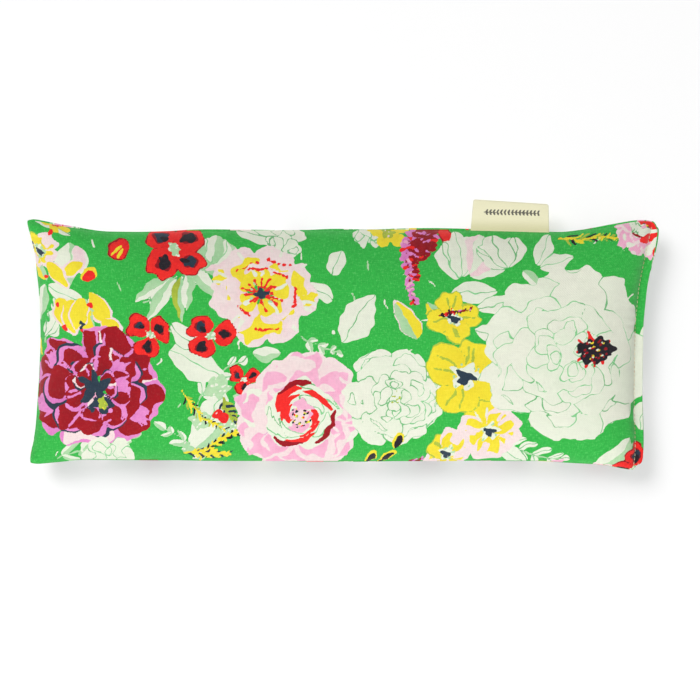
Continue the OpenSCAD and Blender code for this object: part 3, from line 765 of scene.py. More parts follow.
def wave_noise(x, y, scale, seed, octaves=3):
    """Smooth repeatable noise in about -1 to 1."""
    r = np.random.default_rng(seed)
    out, amp = np.zeros(np.broadcast(x, y).shape), 1.0
    for _ in range(octaves):
        for _ in range(5):
            a, ph = r.uniform(0, 2 * math.pi), r.uniform(0, 2 * math.pi)
            k = 2 * math.pi / (scale * r.uniform(0.7, 1.4))
            out += amp * 0.32 * np.sin(k * (x * math.cos(a) + y * math.sin(a)) + ph)
        scale, amp = scale * 0.5, amp * 0.5
    return out


simF, simB = simulate()
zs, z0, z1 = float(np.median(simF[NU // 4:3 * NU // 4, -1, 2])), float(simB[..., 2].min()), float(simF[..., 2].max())
for G in (simF, simB):
    z = G[..., 2]
    G[..., 2] = np.where(z > zs, SEAM_Z + (z - zs) * (TOP_Z - CLOTH - SEAM_Z) / (z1 - zs), SEAM_Z - (zs - z) * (SEAM_Z - CLOTH) / (zs - z0))
simF, simB = fit_outline(simF, simB)


def axis_points(lo, hi, fine, coarse, band):
    """Grid coordinates, closer together within band of each end; an even number of cells."""
    a = np.arange(0, band, fine)
    n = int(round((hi - lo - 2 * band) / coarse))
    n += (n + 2 * len(a)) % 2
    return np.concatenate([lo + a, np.linspace(lo + band, hi - band, n + 1), (hi - a)[::-1]])


XS = axis_points(-HL, HL - FLANGE, 0.42, 0.64, 4.2)
YS = axis_points(-HW, HW, 0.42, 0.62, 4.2)
FW = np.array([0.35, 0.75, 1.2, 1.7, 2.2, 2.65, 2.95, 3.1])   # flange columns outside the stitches
TU, TV = (XS + HL) / (2 * HL - FLANGE) * NU, (YS + HW) / (2 * HW) * NV
AU, AV = spline_rows(TU, NU + 1), spline_rows(TV, NV + 1)
XA = np.concatenate([XS, HL - FLANGE + FW])                    # flat coordinate of every column
GX, GY = np.meshgrid(XA, YS, indexing="ij")


def with_flange(P):
    """Adds the flat edge outside the closing stitches."""
    edge = P[-1]
    t = np.gradient(edge[:, :2], axis=0)
    o = np.stack([t[:, 1], -t[:, 0]], -1)
    o /= np.linalg.norm(o, axis=-1, keepdims=True)
    o = o * 0.35 + np.array([0.65, 0.0])
    o /= np.linalg.norm(o, axis=-1, keepdims=True)
    v = YS / HW
    taper = 1 - 0.32 * np.clip((v - 0.8) / 0.2, 0, 1) ** 1.5 - 0.25 * np.clip((-v - 0.9) / 0.1, 0, 1) ** 2
    cols = []
    for w in FW:
        c = edge.copy()
        c[:, :2] += o * (w * taper)[:, None]
        # the open end's corners are folded in, so the flange rounds off there
        c[:, 1] -= np.sign(v) * 1.6 * (w / FW[-1]) ** 2 * np.clip((np.abs(v) - 0.93) / 0.07, 0, 1) ** 2
        cols.append(c)
    return np.concatenate([P, np.array(cols)])


def round_corners(P, R=5.5, k=0.85):
    """Eases the four corners, as turned cloth never comes to a point."""
    n, m = P.shape[:2]
    flat = np.stack([GX, GY], -1)
    for i, j in ((0, 0), (0, m - 1), (n - 1, 0), (n - 1, m - 1)):
        u, v = np.abs(flat[..., 0] - flat[i, j, 0]), np.abs(flat[..., 1] - flat[i, j, 1])
        s = k * np.clip(1 - u / R, 0, 1) ** 2 * np.clip(1 - v / R, 0, 1) ** 2
        P[..., 0] += s * (1 if i == 0 else -1)
        P[..., 1] += s * (1 if j == 0 else -1)
    return P


midF, midB = (round_corners(with_flange(resample(G, AU, AV))) for G in (simF, simB))
n_in = len(XS)
D = np.minimum.reduce([GX + HL, HW - np.abs(GY), np.maximum(HL - FLANGE - GX, 0) + 0 * GY])   # distance in from the nearest sewn line
D_long, D_left, D_right = HW - np.abs(GY), GX + HL, np.maximum(HL - FLANGE - GX, 0)


def detail(side, seed):
    """Height added along the normal: loose seed, seam allowances and pucker beside the stitches."""
    h = 0.20 * wave_noise(GX, GY, 34, seed, 2) * np.clip(D / 14, 0, 1)
    h += 0.09 * wave_noise(GX, GY, 9, seed + 1, 2) * np.clip(D / 10, 0, 1)
    near = lambda d, w: np.exp(-((d - 2.2) / w) ** 2) * np.clip(d / 0.8, 0, 1)
    s1 = wave_noise(GX, GY * 0.12 + np.sign(GY) * 40, 6.0, seed + 2, 2)
    s2 = wave_noise(GX * 0.12 + 90, GY, 5.2, seed + 3, 2)
    h += 0.24 * s1 * near(D_long, 3.8)
    h += 0.22 * s2 * (near(D_left, 3.6) + near(D_right, 3.2) * (GX < HL - FLANGE))
    ridge = lambda d: np.clip((9.0 + 0.6 * wave_noise(GX, GY, 30, seed + 4, 1) - d) / 1.6, 0, 1) * np.clip(d / 2.0, 0, 1)
    a = np.maximum.reduce([ridge(D_long), ridge(D_left)])
    h += 0.16 * a * a * (3 - 2 * a)
    return h


def outer_skin(P, side, seed):
    n = normals(P) * side
    up = np.zeros_like(n)
    up[..., 2] = side
    t = np.clip(D / 1.6, 0, 1)[..., None]
    t = t * t * (3 - 2 * t)
    v = up * (1 - t) + n * t
    v /= np.linalg.norm(v, axis=-1, keepdims=True)
    # the flange: pulled down at the stitches, full between them and the fold
    w = np.clip(GX - (HL - FLANGE), 0, None)
    fl = 0.20 + 0.42 * (1 - np.exp(-w / 0.5))
    lift = np.where(w > 0, fl, np.where(D_right < 2.0, 0.20 + 0.22 * np.clip(D_right / 2.0, 0, 1), CLOTH))
    lift = lift + detail(side, seed) * (w <= 0) + (0.05 * wave_noise(GX * 0, GY, 5, seed + 7, 2)) * (w > 0.5)
    out = P + v * lift[..., None]
    if side < 0:
        out[..., 2] = np.maximum(out[..., 2], 0.0 + 0.02 * np.clip(1 - D / 20, 0, 1))
    return out


def loop_ids(n, m):
    return np.concatenate([np.arange(n) * m, (n - 1) * m + np.arange(1, m), np.arange(n - 2, -1, -1) * m + m - 1, np.arange(m - 2, 0, -1)])


def outward(loop):
    t = np.roll(loop, -1, 0) - np.roll(loop, 1, 0)
    for _ in range(3):
        t = (np.roll(t, -1, 0) + t + np.roll(t, 1, 0)) / 3
    o = np.stack([t[:, 1], -t[:, 0], 0 * t[:, 0]], -1)
    return o / np.maximum(np.linalg.norm(o, axis=-1, keepdims=True), 1e-9)


def panel(name, mid, side, seed, extra):
    """One cotton panel as a closed shell: outer skin, rolled edge, inner skin."""
    out = outer_skin(mid, side, seed)
    n, m = out.shape[:2]
    lp = loop_ids(n, m)
    base = mid.reshape(-1, 3)[lp]
    top = out.reshape(-1, 3)[lp]
    o = outward(base)
    rise = np.abs(top[:, 2] - base[:, 2])
    s = np.arange(len(lp)) * 0.62
    # the back panel rolls into view here and there, mostly along the labelled side
    show = np.clip(wave_noise(s, 0 * s, 60, seed + 9, 2) + 0.25, 0, 1)
    wide = 0.20 + (show * np.where(base[:, 1] > 30, 0.62, 0.25) if side < 0 else 0)
    rings = []
    for ph in (25, 60, 95, 130, 160):
        a = math.radians(ph)
        c = base + o * (wide * math.sin(a))[:, None] if np.ndim(wide) else base + o * wide * math.sin(a)
        c = c.copy()
        c[:, 2] = base[:, 2] + side * (0.035 + (rise - 0.035) * (1 + math.cos(a)) / 2)
        rings.append(c)
    hem = base.copy() - o * 0.05
    hem[:, 2] = base[:, 2] + side * 0.03
    rings.append(hem)
    inner = mid[::2, ::2].copy()
    ni, mi = inner.shape[:2]
    li = loop_ids(ni, mi)
    flat_in = inner.reshape(-1, 3)
    flat_in[li, 2] += side * 0.02
    flat_in[li] -= outward(flat_in[li]) * 0.30
    verts = [out.reshape(-1, 3)] + rings + [flat_in]
    offs = np.cumsum([0] + [len(v) for v in verts])
    V = np.concatenate(verts)
    k = len(lp)
    i = np.arange(n * m).reshape(n, m)
    q = np.stack([i[:-1, :-1], i[1:, :-1], i[1:, 1:], i[:-1, 1:]], -1).reshape(-1, 4)
    faces = [q if side > 0 else q[:, ::-1]]
    prev = lp
    a = np.arange(k)
    b = (a + 1) % k
    for r in range(len(rings)):
        cur = offs[1 + r] + a
        f = np.stack([prev[b], prev[a], cur[a], cur[b]], -1)
        faces.append(f if side > 0 else f[:, ::-1])
        prev = cur
    io = offs[-2]
    j = io + np.arange(ni * mi).reshape(ni, mi)
    q = np.stack([j[:-1, :-1], j[1:, :-1], j[1:, 1:], j[:-1, 1:]], -1).reshape(-1, 4)
    faces.append(q[:, ::-1] if side > 0 else q)
    ci = io + li
    kc = np.arange(len(li))
    nx = (kc + 1) % len(li)
    t = np.concatenate([np.stack([ci[kc], prev[2 * kc + 1], prev[2 * kc]], -1), np.stack([ci[kc], ci[nx], prev[2 * kc + 1]], -1), np.stack([ci[nx], prev[(2 * kc + 2) % k], prev[2 * kc + 1]], -1)])
    tris = t if side > 0 else t[:, ::-1]
    me = bpy.data.meshes.new(name)
    me.from_pydata((V * MM).tolist(), [], np.concatenate(faces).tolist() + tris.tolist())
    me.validate()
    # flat cloth coordinates and print screens, carried round the rolled edge
    fx, fy = GX.ravel(), GY.ravel()
    lx, ly = fx[lp], fy[lp]
    ix, iy = GX[::2, ::2].ravel(), GY[::2, ::2].ravel()
    roll = lambda A: np.concatenate([A.ravel()] + [A.ravel()[lp]] * len(rings) + [A[::2, ::2].ravel()])
    put(me, "flat_x", roll(GX))
    put(me, "flat_y", roll(GY))
    put(me, "edge", roll(D))
    inside = np.zeros(len(V))
    inside[io:] = 1
    put(me, "inside", inside)
    for kx, row in enumerate(INKS):
        put(me, "ink_" + row[0], roll(extra.S[kx]))
    put(me, "tone", roll(extra.tone))
    me.polygons.foreach_set("use_smooth", [True] * len(me.polygons))
    ob = bpy.data.objects.new(name, me)
    bpy.context.scene.collection.objects.link(ob)
    return ob, out


def put(me, name, values):
    a = me.attributes.new(name, "FLOAT", "POINT")
    a.data.foreach_set("value", np.ascontiguousarray(values, np.float32).ravel())


def mesh_object(name, V, faces, smooth=True):
    me = bpy.data.meshes.new(name)
    me.from_pydata((np.asarray(V) * MM).tolist(), [], [list(map(int, f)) for f in faces])
    me.validate()
    # faces look outwards on every closed piece
    me.calc_loop_triangles()
    t = np.zeros(len(me.loop_triangles) * 3, np.int32)
    me.loop_triangles.foreach_get("vertices", t)
    co = np.zeros(len(me.vertices) * 3)
    me.vertices.foreach_get("co", co)
    p = (co.reshape(-1, 3) - co.reshape(-1, 3).mean(0))[t.reshape(-1, 3)]
    if np.einsum("ij,ij->i", p[:, 0], np.cross(p[:, 1], p[:, 2])).sum() < 0:
        me.flip_normals()
    me.polygons.foreach_set("use_smooth", [smooth] * len(me.polygons))
    ob = bpy.data.objects.new(name, me)
    bpy.context.scene.collection.objects.link(ob)
    return ob

# ---------------------------------------------------------------- covers
front, outF = panel("cover_front_print", midF, 1, 41, print_front(XA, YS))
back, outB = panel("cover_back_print", midB, -1, 57, print_back(XA, YS))


# ---------------------------------------------------------------- threads
def run_length(C, pitch):
    d = np.linalg.norm(np.diff(C, axis=0), axis=1)
    s = np.concatenate([[0], np.cumsum(d)])
    n = int(s[-1] / pitch)
    return lambda q: np.stack([np.interp(q * s[-1], s, C[:, k]) for k in range(3)], -1), n


def stitches(name, C, pitch, cover, r, arch, sink, side=1.0, seed=1, lean=0.0):
    """A row of stitches along curve C: each a short tube that dips into the cloth at both ends."""
    f, n = run_length(C, pitch)
    rr = np.random.default_rng(seed)
    V, Fc = [], []
    K, M = 9, 8
    for i in range(n):
        a = (i + (1 - cover) / 2 + rr.uniform(-0.03, 0.03)) / n
        b = (i + (1 + cover) / 2 + rr.uniform(-0.03, 0.03)) / n
        q = np.linspace(a, b, K)
        P = f(np.clip(q, 0, 1))
        u = np.linspace(-1, 1, K)
        lift = arch * (1 - u**2) - sink * u**4
        P = P + np.array([0, 0, side]) * lift[:, None]
        T = np.gradient(P, axis=0)
        T /= np.linalg.norm(T, axis=1, keepdims=True)
        Z = np.tile([0, 0, 1.0], (K, 1))
        N1 = np.cross(Z, T)
        N1 /= np.linalg.norm(N1, axis=1, keepdims=True)
        N2 = np.cross(T, N1)
        P = P + N1 * (lean * u)[:, None]
        rad = r * (1 - 0.72 * np.abs(u) ** 7) * rr.uniform(0.93, 1.07)
        base = sum(len(v) for v in V)
        ang = np.linspace(0, 2 * math.pi, M, endpoint=False)
        ring = P[:, None] + rad[:, None, None] * (np.cos(ang)[None, :, None] * N1[:, None] + np.sin(ang)[None, :, None] * N2[:, None])
        V.append(ring.reshape(-1, 3))
        for k in range(K - 1):
            for j in range(M):
                j2 = (j + 1) % M
                Fc.append((base + k * M + j, base + k * M + j2, base + (k + 1) * M + j2, base + (k + 1) * M + j))
        Fc.append(tuple(base + j for j in range(M))[::-1])
        Fc.append(tuple(base + (K - 1) * M + j for j in range(M)))
    return mesh_object(name, np.concatenate(V), Fc)


last = n_in - 1
cut = lambda C, a, b: C[a:len(C) - b]
# the construction stitches sit just inside the turned edge, between the two panels
within = lambda *k: (midF[k] + midB[k]) / 2
rows = slice(0, n_in)
top_seam = stitches("top_seam_stitches", cut(within(rows, -3), 6, 4), 2.6, 0.72, 0.13, 0.0, 0.0, seed=2)
bottom_seam = stitches("bottom_seam_stitches", cut(within(rows, 2), 6, 4), 2.6, 0.72, 0.13, 0.0, 0.0, seed=3)
left_seam = stitches("left_seam_stitches", cut(within(2, slice(None)), 6, 6), 2.6, 0.72, 0.13, 0.0, 0.0, seed=4)
needle = stitches("closure_needle_stitches", cut(outF[last], 4, 4), 1.72, 0.80, 0.17, 0.10, 0.30, 1, 5, 0.06)
bobbin = stitches("closure_bobbin_stitches", cut(outB[last], 4, 4), 1.72, 0.76, 0.16, 0.08, 0.30, -1, 6, -0.05)


# ---------------------------------------------------------------- ribbon tab
def ribbon():
    NX, N1, NF = 84, 30, 9
    x0, x1 = 51.6, 82.7
    gy = midF[:n_in, -1]
    r, t = 0.42, 0.13
    u = np.linspace(0, 1, N1)
    g = 0.15 + (r - 0.15) * np.clip(u / 0.75, 0, 1) ** 1.3
    # middle line of the ribbon as (share of the height, fixed part, offset from the seam plane)
    mid = [(a, 0.0, z) for a, z in zip(u, g)]
    ph = np.linspace(math.pi / 2, -math.pi / 2, NF + 2)[1:-1]
    mid += [(1.0, r * math.cos(p), r * math.sin(p)) for p in ph]
    mid += [(a, 0.0, -z) for a, z in zip(u[::-1], g[::-1])]
    mid = np.array(mid)
    K = len(mid)
    V, LX, LY, SD = [], [], [], []
    low = 2.0
    for i in range(NX + 1):
        s = i / NX
        xb = x0 + (x1 - x0) * s
        xt = 52.7 + (82.5 - 52.7) * s
        yb = np.interp(xb, gy[:, 0], gy[:, 1])
        yt = 57.9 - 1.9 * s
        e = min(s, 1 - s) * (x1 - x0)
        yt -= 0.55 * (1 - math.sqrt(max(0.0, 1 - (1 - min(e / 0.9, 1)) ** 2)))
        H = yt - yb - r
        y = (yb - low) + (H + low) * mid[:, 0] + mid[:, 1]
        h = np.clip((y - yb) / 12.0, 0, 1)
        x = xb + (xt - xb) * h
        bow = 0.30 * math.sin(math.pi * s) * h**1.4 + 0.16 * math.sin(5.2 * s + 1.0) * h - 0.55 * h**2
        z = SEAM_Z + mid[:, 2] + bow
        P = np.stack([x, y, z], -1)
        T = np.gradient(P, axis=0)
        T[:, 0] = 0
        T /= np.linalg.norm(T, axis=1, keepdims=True)
        N = np.stack([0 * T[:, 0], -T[:, 2], T[:, 1]], -1)
        V.append(np.concatenate([P + N * t, (P - N * t)[::-1]]))
        ly = np.concatenate([y - yb, (y - yb)[::-1]])
        LX.append(np.full(2 * K, xb - x0))
        LY.append(ly)
        sd = np.zeros(2 * K)
        sd[:N1] = 1
        SD.append(sd)
    L = 2 * K
    Fc = []
    for i in range(NX):
        for k in range(L):
            k2 = (k + 1) % L
            Fc.append((i * L + k, i * L + k2, (i + 1) * L + k2, (i + 1) * L + k))
    for k in range(K - 1):
        a, b = k, k + 1
        c, d = L - 1 - k, L - 2 - k
        Fc.append((b, a, c, d))
        o = NX * L
        Fc.append((o + a, o + b, o + d, o + c))
    ob = mesh_object("label_ribbon", np.concatenate(V), Fc)
    me = ob.data
    LX, LY, SD = np.concatenate(LX), np.concatenate(LY), np.concatenate(SD)
    put(me, "rib_x", LX)
    put(me, "rib_y", LY)
    put(me, "rib_front", SD)
    # a plain woven sprig: a stem with paired leaves
    d = np.full(LX.shape, 3.0)
    cx, cy, half = 15.9, 7.4, 11.4
    X, Y = LX - cx, LY - cy
    stem = np.maximum(np.abs(Y) - 0.17, np.abs(X) - half)
    d = np.minimum(d, stem)
    for k in range(-7, 8):
        for g in (-1, 1):
            a = math.radians(52)
            bx = k * 1.5
            ux, uy = math.cos(a), g * math.sin(a)
            p = (X - bx) * ux + Y * uy
            q = -(X - bx) * uy + Y * ux
            tt = np.clip(p / 1.55, 0, 1)
            w = 0.36 * np.sin(math.pi * tt) ** 0.8
            d = np.minimum(d, np.maximum.reduce([np.abs(q) - w, -p, p - 1.55]))
    put(me, "rib_ink", np.clip(np.where(SD > 0.5, d, 3.0), -3, 3))
    return ob


label = ribbon()


# ---------------------------------------------------------------- inner pouch and seed
def shrink(P, sx, sy, sz):
    return np.stack([(P[..., 0] + 1.6) * sx - 1.6, P[..., 1] * sy, SEAM_Z + (P[..., 2] - SEAM_Z) * sz], -1)


def shell(name, P, side, thick, low_floor=None):
    n, m = P.shape[:2]
    Q = P - normals(P) * side * side * thick * (1 if side > 0 else -1)
    lp = loop_ids(n, m)
    q = Q.reshape(-1, 3)
    q[lp] = P.reshape(-1, 3)[lp] - outward(P.reshape(-1, 3)[lp]) * thick
    q[lp, 2] = P.reshape(-1, 3)[lp, 2]
    P2 = P.copy().reshape(-1, 3)
    P2[lp, 2] += side * 0.25
    V = np.concatenate([P2, q])
    i = np.arange(n * m).reshape(n, m)
    f = np.stack([i[:-1, :-1], i[1:, :-1], i[1:, 1:], i[:-1, 1:]], -1).reshape(-1, 4)
    a = np.arange(len(lp))
    b = (a + 1) % len(lp)
    w = np.stack([lp[b], lp[a], lp[a] + n * m, lp[b] + n * m], -1)
    Fc = np.concatenate([f, (f + n * m)[:, ::-1], w])
    return mesh_object(name, V, Fc if side > 0 else Fc[:, ::-1])


pF, pB = shrink(simF, 0.955, 0.925, 0.93), shrink(simB, 0.955, 0.925, 0.93)
pB[..., 2] += 0.06 * np.clip((SEAM_Z - pB[..., 2] - 2) / 4, 0, 1)
pouch_front = shell("pouch_front_muslin", pF, 1, 0.3)
pouch_back = shell("pouch_back_muslin", pB, -1, 0.3)
pouch_long = [stitches("pouch_seam_stitches", np.concatenate([pF[3:-3, 0], pF[-3:-2, 0]]), 2.6, 0.72, 0.13, 0.0, 0.0, seed=7),
              stitches("pouch_seam_stitches_top", pF[3:-3, -1], 2.6, 0.72, 0.13, 0.0, 0.0, seed=8),
              stitches("pouch_seam_stitches_left", pF[0, 2:-2], 2.6, 0.72, 0.13, 0.0, 0.0, seed=9)]
pouch_end = stitches("pouch_closing_stitches", pF[-1, 2:-2], 2.6, 0.72, 0.13, 0.0, 0.0, seed=10)


def seed_bumps(x, y, cell=2.9, seed=1):
    """Height of packed seeds: a domed cell pattern, each cell a long seed at its own angle."""
    r = np.random.default_rng(seed)
    n = 160
    jx, jy, an = r.uniform(0.1, 0.9, (n, n)), r.uniform(0.1, 0.9, (n, n)), r.uniform(0, math.pi, (n, n))
    ix, iy = np.floor(x / cell).astype(int), np.floor(y / cell).astype(int)
    best = np.full(x.shape, 9.0)
    for a in (-1, 0, 1):
        for b in (-1, 0, 1):
            cx, cy = (ix + a) % n, (iy + b) % n
            dx = x - (ix + a + jx[cx, cy]) * cell
            dy = y - (iy + b + jy[cx, cy]) * cell
            c, s = np.cos(an[cx, cy]), np.sin(an[cx, cy])
            best = np.minimum(best, np.hypot((dx * c + dy * s) / 2.3, (-dx * s + dy * c) / 1.25))
    return np.sqrt(np.clip(1 - np.clip(best, 0, 1) ** 2, 0, 1))


def lobe(name, side, seed):
    tu = np.linspace(51.35, NU, 150) if side > 0 else np.linspace(0, 49.95, 150)
    tv = np.linspace(0, NV, 112)
    A, B = spline_rows(tu, NU + 1), spline_rows(tv, NV + 1)
    grids = []
    for G, s in ((simF, 1), (simB, -1)):
        P = shrink(resample(G, A, B), 0.935, 0.895, 0.885)
        x = np.abs(P[..., 0])
        t = np.clip((x - 1.9) / 22.0, 0, 1)
        t = t * (2 - t)
        bump = seed_bumps(P[..., 0] + 300, P[..., 1] + 300 + 60 * s, seed=seed) - 1
        h = (P[..., 2] - SEAM_Z) * t
        h = h + (0.42 * np.clip((-h - 1.5) / 5, 0, 1) if s < 0 else 0)
        P[..., 0] += 0.6 * side
        P[..., 2] = SEAM_Z + h + s * (0.55 * bump * np.clip(np.abs(h) / 2.0, 0, 1)) + s * 0.06
        grids.append(P)
    n, m = grids[0].shape[:2]
    lp = loop_ids(n, m)
    V = np.concatenate([g.reshape(-1, 3) for g in grids])
    i = np.arange(n * m).reshape(n, m)
    f = np.stack([i[:-1, :-1], i[1:, :-1], i[1:, 1:], i[:-1, 1:]], -1).reshape(-1, 4)
    a = np.arange(len(lp))
    b = (a + 1) % len(lp)
    w = np.stack([lp[b], lp[a], lp[a] + n * m, lp[b] + n * m], -1)
    return mesh_object(name, V, np.concatenate([f, (f + n * m)[:, ::-1], w]))


fill_r = lobe("flax_seed_right", 1, 21)
fill_l = lobe("flax_seed_left", -1, 22)



def centres(node):
    """Middle of every separate solid in a CAD node, in mm."""
    ob = frame["nodes"][node]
    me = ob.data
    n = len(me.vertices)
    co = np.zeros(n * 3, np.float32)
    me.vertices.foreach_get("co", co)
    co = co.reshape(-1, 3)
    ed = np.zeros(len(me.edges) * 2, np.int32)
    me.edges.foreach_get("vertices", ed)
    ed = ed.reshape(-1, 2)
    lab = np.arange(n)
    while True:
        lo = np.minimum(lab[ed[:, 0]], lab[ed[:, 1]])
        new = lab.copy()
        np.minimum.at(new, ed[:, 0], lo)
        np.minimum.at(new, ed[:, 1], lo)
        new = new[new]
        if (new == lab).all():
            break
        lab = new
    out = []
    for k in np.unique(lab):
        c = co[lab == k].mean(0)
        c = ob.matrix_world @ mathutils.Vector([float(v) for v in c])
        out.append((c.x * 1000, c.y * 1000, c.z * 1000))
    merged = []
    for c in sorted(out):
        if not any(np.linalg.norm(np.subtract(c, d)) < 0.6 for d in merged):
            merged.append(c)
    return merged


def buds(name, node, seed):
    """Dried lavender buds: ribbed, tapered calyxes lying every way."""
    r = np.random.default_rng(seed)
    V, Fc = [], []
    K, M = 11, 14
    for c in centres(node):
        L = r.uniform(4.2, 5.2)
        d = r.normal(size=3) * (1, 1, 0.25)
        d /= np.linalg.norm(d)
        e1 = np.cross(d, (0, 0, 1.0))
        e1 /= np.linalg.norm(e1)
        e2 = np.cross(d, e1)
        t = np.linspace(0, 1, K)
        rad = 0.98 * np.sin(math.pi * np.clip(t * 0.96 + 0.03, 0, 1)) ** 0.6 * (1 - 0.25 * t) + 0.03
        ang = np.linspace(0, 2 * math.pi, M, endpoint=False)
        rib = 1 + 0.10 * np.cos(7 * ang)[None] * (t[:, None] > 0.05)
        flare = 1 + 0.18 * np.clip((t - 0.8) / 0.2, 0, 1)[:, None] * np.cos(5 * ang)[None]
        R = rad[:, None] * rib * flare
        base = sum(len(v) for v in V)
        P = np.array(c) + d * ((t - 0.5) * L)[:, None, None] * 1.0 + R[..., None] * (np.cos(ang)[None, :, None] * e1 + np.sin(ang)[None, :, None] * e2)
        V.append(P.reshape(-1, 3))
        for k in range(K - 1):
            for j in range(M):
                j2 = (j + 1) % M
                Fc.append((base + k * M + j, base + (k + 1) * M + j, base + (k + 1) * M + j2, base + k * M + j2))
        Fc.append(tuple(base + j for j in range(M)))
        Fc.append(tuple(base + (K - 1) * M + j for j in range(M))[::-1])
    return mesh_object(name, np.concatenate(V), Fc)


buds_l = buds("lavender_buds_left", "lavender_left", 31)
buds_r = buds("lavender_buds_right", "lavender_right", 32)
# ---------------------------------------------------------------- materials
def lin(rgb):
    return tuple(((c / 255) / 12.92 if c / 255 <= 0.04045 else ((c / 255 + 0.055) / 1.055) ** 2.4) for c in rgb) + (1.0,)


class Graph:
    """Short names for building node trees."""

    def __init__(self, name):
        self.m = bpy.data.materials.new(name)
        self.m.use_nodes = True
        self.t = self.m.node_tree
        self.t.nodes.clear()
        self.out = self.t.nodes.new("ShaderNodeOutputMaterial")
        self.p = self.t.nodes.new("ShaderNodeBsdfPrincipled")
        self.t.links.new(self.p.outputs[0], self.out.inputs[0])

    def link(self, a, b):
        self.t.links.new(a, b)

    def feed(self, sock, v):
        if isinstance(v, (int, float)):
            sock.default_value = v
        elif isinstance(v, tuple):
            sock.default_value = v
        elif v is not None:
            self.link(v, sock)

    def math(self, op, a, b=None, c=None, clamp=False):
        n = self.t.nodes.new("ShaderNodeMath")
        n.operation, n.use_clamp = op, clamp
        for s, v in zip(n.inputs, (a, b, c)):
            self.feed(s, v)
        return n.outputs[0]

    def attr(self, name):
        n = self.t.nodes.new("ShaderNodeAttribute")
        n.attribute_name = name
        return n.outputs["Fac"]

    def xyz(self, x, y, z=0.0):
        n = self.t.nodes.new("ShaderNodeCombineXYZ")
        for s, v in zip(n.inputs, (x, y, z)):
            self.feed(s, v)
        return n.outputs[0]

    def noise(self, vec, scale=1.0, detail=2.0, rough=0.5, distort=0.0):
        n = self.t.nodes.new("ShaderNodeTexNoise")
        self.feed(n.inputs["Vector"], vec)
        n.inputs["Scale"].default_value = scale
        n.inputs["Detail"].default_value = detail
        n.inputs["Roughness"].default_value = rough
        n.inputs["Distortion"].default_value = distort
        return n.outputs["Fac"]

    def voronoi(self, vec, scale, feature="F1", out="Distance"):
        n = self.t.nodes.new("ShaderNodeTexVoronoi")
        n.feature = feature
        self.feed(n.inputs["Vector"], vec)
        n.inputs["Scale"].default_value = scale
        return n.outputs[out]

    def mix(self, f, a, b, blend="MIX"):
        n = self.t.nodes.new("ShaderNodeMix")
        n.data_type, n.blend_type = "RGBA", blend
        self.feed(n.inputs[0], f)
        self.feed(n.inputs[6], a)
        self.feed(n.inputs[7], b)
        return n.outputs[2]

    def step(self, v, lo, hi, a=0.0, b=1.0):
        n = self.t.nodes.new("ShaderNodeMapRange")
        n.interpolation_type = "SMOOTHSTEP"
        self.feed(n.inputs[0], v)
        for k, x in ((1, lo), (2, hi), (3, a), (4, b)):
            n.inputs[k].default_value = x
        return n.outputs[0]

    def scale_rgb(self, col, f):
        n = self.t.nodes.new("ShaderNodeVectorMath")
        n.operation = "SCALE"
        self.feed(n.inputs[0], col)
        self.feed(n.inputs[3], f)
        return n.outputs[0]

    def bump(self, h, dist, strength=1.0, normal=None):
        n = self.t.nodes.new("ShaderNodeBump")
        n.inputs["Strength"].default_value = strength
        n.inputs["Distance"].default_value = dist
        self.feed(n.inputs["Height"], h)
        if normal is not None:
            self.feed(n.inputs["Normal"], normal)
        return n.outputs[0]

    def finish(self, color, rough, normal=None, **kw):
        self.feed(self.p.inputs["Base Color"], color)
        self.feed(self.p.inputs["Roughness"], rough)
        self.feed(self.p.inputs["Normal"], normal)
        for k, v in kw.items():
            self.feed(self.p.inputs[k.replace("_", " ")], v)
        return self.m


def sine(g, v, pitch, phase=0.0):
    return g.math("SINE", g.math("MULTIPLY_ADD", v, 2 * math.pi / pitch, phase))


def weave(g, x, y, pitch, slub=1.0):
    """Plain weave: two thread sets over and under each other, with uneven slubs. Returns height and tint; the tint
    holds the slubs' uneven colour and painted shade on the weave's raised and sunken threads.
    """
    over = g.math("MULTIPLY", sine(g, x, 2 * pitch), sine(g, y, 2 * pitch, 1.57))
    wx = g.math("ABSOLUTE", sine(g, x, 2 * pitch, 0.6))
    wy = g.math("ABSOLUTE", sine(g, y, 2 * pitch, 0.2))
    h = g.math("ADD", g.math("MULTIPLY", over, 0.35), g.math("MULTIPLY", g.math("ADD", wx, wy), 0.3))
    a = g.noise(g.xyz(g.math("MULTIPLY", x, 0.30), g.math("MULTIPLY", y, 2.3)), 1.0, 2.0, 0.65)
    b = g.noise(g.xyz(g.math("MULTIPLY", x, 2.3), g.math("MULTIPLY", y, 0.30), 7.0), 1.0, 2.0, 0.65)
    s = g.math("ADD", a, b)
    h = g.math("ADD", h, g.math("MULTIPLY", s, 0.9 * slub))
    tint = g.math("MULTIPLY_ADD", g.math("SUBTRACT", s, 1.0), 0.26 * slub, 1.0)
    # painted shade: the weave lighter where its threads stand higher and darker where they sink
    tint = g.math("MULTIPLY_ADD", over, 0.035, tint)
    return h, tint


